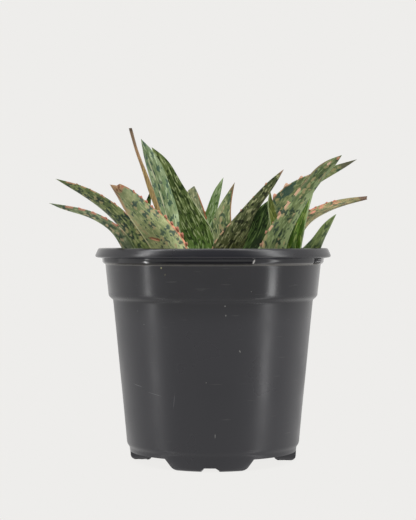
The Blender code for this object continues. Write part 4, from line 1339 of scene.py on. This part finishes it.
for seed, (node, (skin, toothed)) in enumerate(LEAVES.items()):
    draw = Random(100 + seed)
    leaf, margins, length = smoothed_leaf(node, node.replace("leaf", "aloe"), seed)
    leaf.data.materials.append(skins[skin])
    for margin, (spacing, size, start_at, end_at) in toothed.items():
        teeth = margin_teeth(margins[margin], length, spacing * MM, size, start_at, end_at, draw)
        rims = SKINS[skin][-1].get("rims", ())
        rim = next((row[1] for row in rims if row[0] == margin), HORN)
        for tooth in teeth:
            tooth.data.materials.append(horn(rim))
        leaf = join([leaf] + teeth)
    finish_piece(leaf, "aloe_leaf", node)
bpy.data.objects.remove(tooth_model)
print("leaves:", len(LEAVES))

# %% [markdown]
# ## Flower stalk
# Last year's flower stalk was cut off and has dried to a thin brown stick, thicker at its base,
# with a scar where each small bract sat. It is a copy of the CAD stalk, smoothed.

# %% Flower stalk
dry_wood, tree, shader = start_material("dry_flower_stalk")
place = add_node(tree, "TexCoord")["Object"]
height = add_node(tree, "SeparateXYZ", {0: place})["Z"]
# Fibres are 0.6 mm wide and 6 mm long.
tall = add_node(tree, "Mapping", {"Vector": place, "Scale": (1800.0, 1800.0, 160.0)})[0]
fibre = add_node(tree, "TexNoise", {"Vector": tall, "Scale": 1.0, "Detail": 2.0})[0]
brown = paint(tree, "#7A6238", "#A18A56", (fibre, 0.35, 0.65))
# The stick darkens towards its cut end.
brown = paint(tree, brown, "#8C6A53", (height, 146 * MM, 156 * MM, 0.0, 0.6))
brown = paint(tree, brown, "#6B5742", (height, 158 * MM, 163 * MM, 0.0, 0.85))
brown = paint(tree, brown, "#4C3C2A", (height, 166.5 * MM, 168.5 * MM))
coat(tree, shader, brown, 0.7, fibre, 0.4, 0.15)
stalk = copied_leaf("flower_stalk", "dry_stalk")
edit(stalk)
stalk_top = max((vert.co for vert in stalk.data.vertices), key=lambda place: place.z).copy()
# The end is drawn out and widened, and is cut off again, after smoothing, where it belongs.
pick_corners(stalk, lambda place: place.z > stalk_top.z - 1.5 * MM)
bpy.ops.transform.translate(value=(-0.6 * MM, 0, 2 * MM))
bpy.ops.transform.resize(value=(1.45, 1.3, 1))
bpy.ops.object.mode_set(mode="OBJECT")
refine(stalk, "SUBSURF", levels=1, render_levels=1)
# Smoothing thins the stick, so it is fattened all over, and three times more towards its base.
edit(stalk)
bpy.ops.mesh.select_all(action="SELECT")
bpy.ops.transform.shrink_fatten(value=0.26 * MM)
for height in (151, 146, 141):
    pick_corners(stalk, lambda place: place.z < height * MM)
    bpy.ops.transform.shrink_fatten(value=0.06 * MM)
bpy.ops.mesh.select_all(action="SELECT")
bpy.ops.mesh.bisect(plane_co=stalk_top + Vector((0, 0, 0.25 * MM)), plane_no=(-0.12, 0, 1),
                    clear_outer=True, use_fill=True)
bpy.ops.mesh.mark_sharp()
bpy.ops.object.mode_set(mode="OBJECT")
bpy.ops.object.shade_smooth()
stalk.data.materials.append(dry_wood)
finish_piece(stalk, "dry_stalk", "flower_stalk")
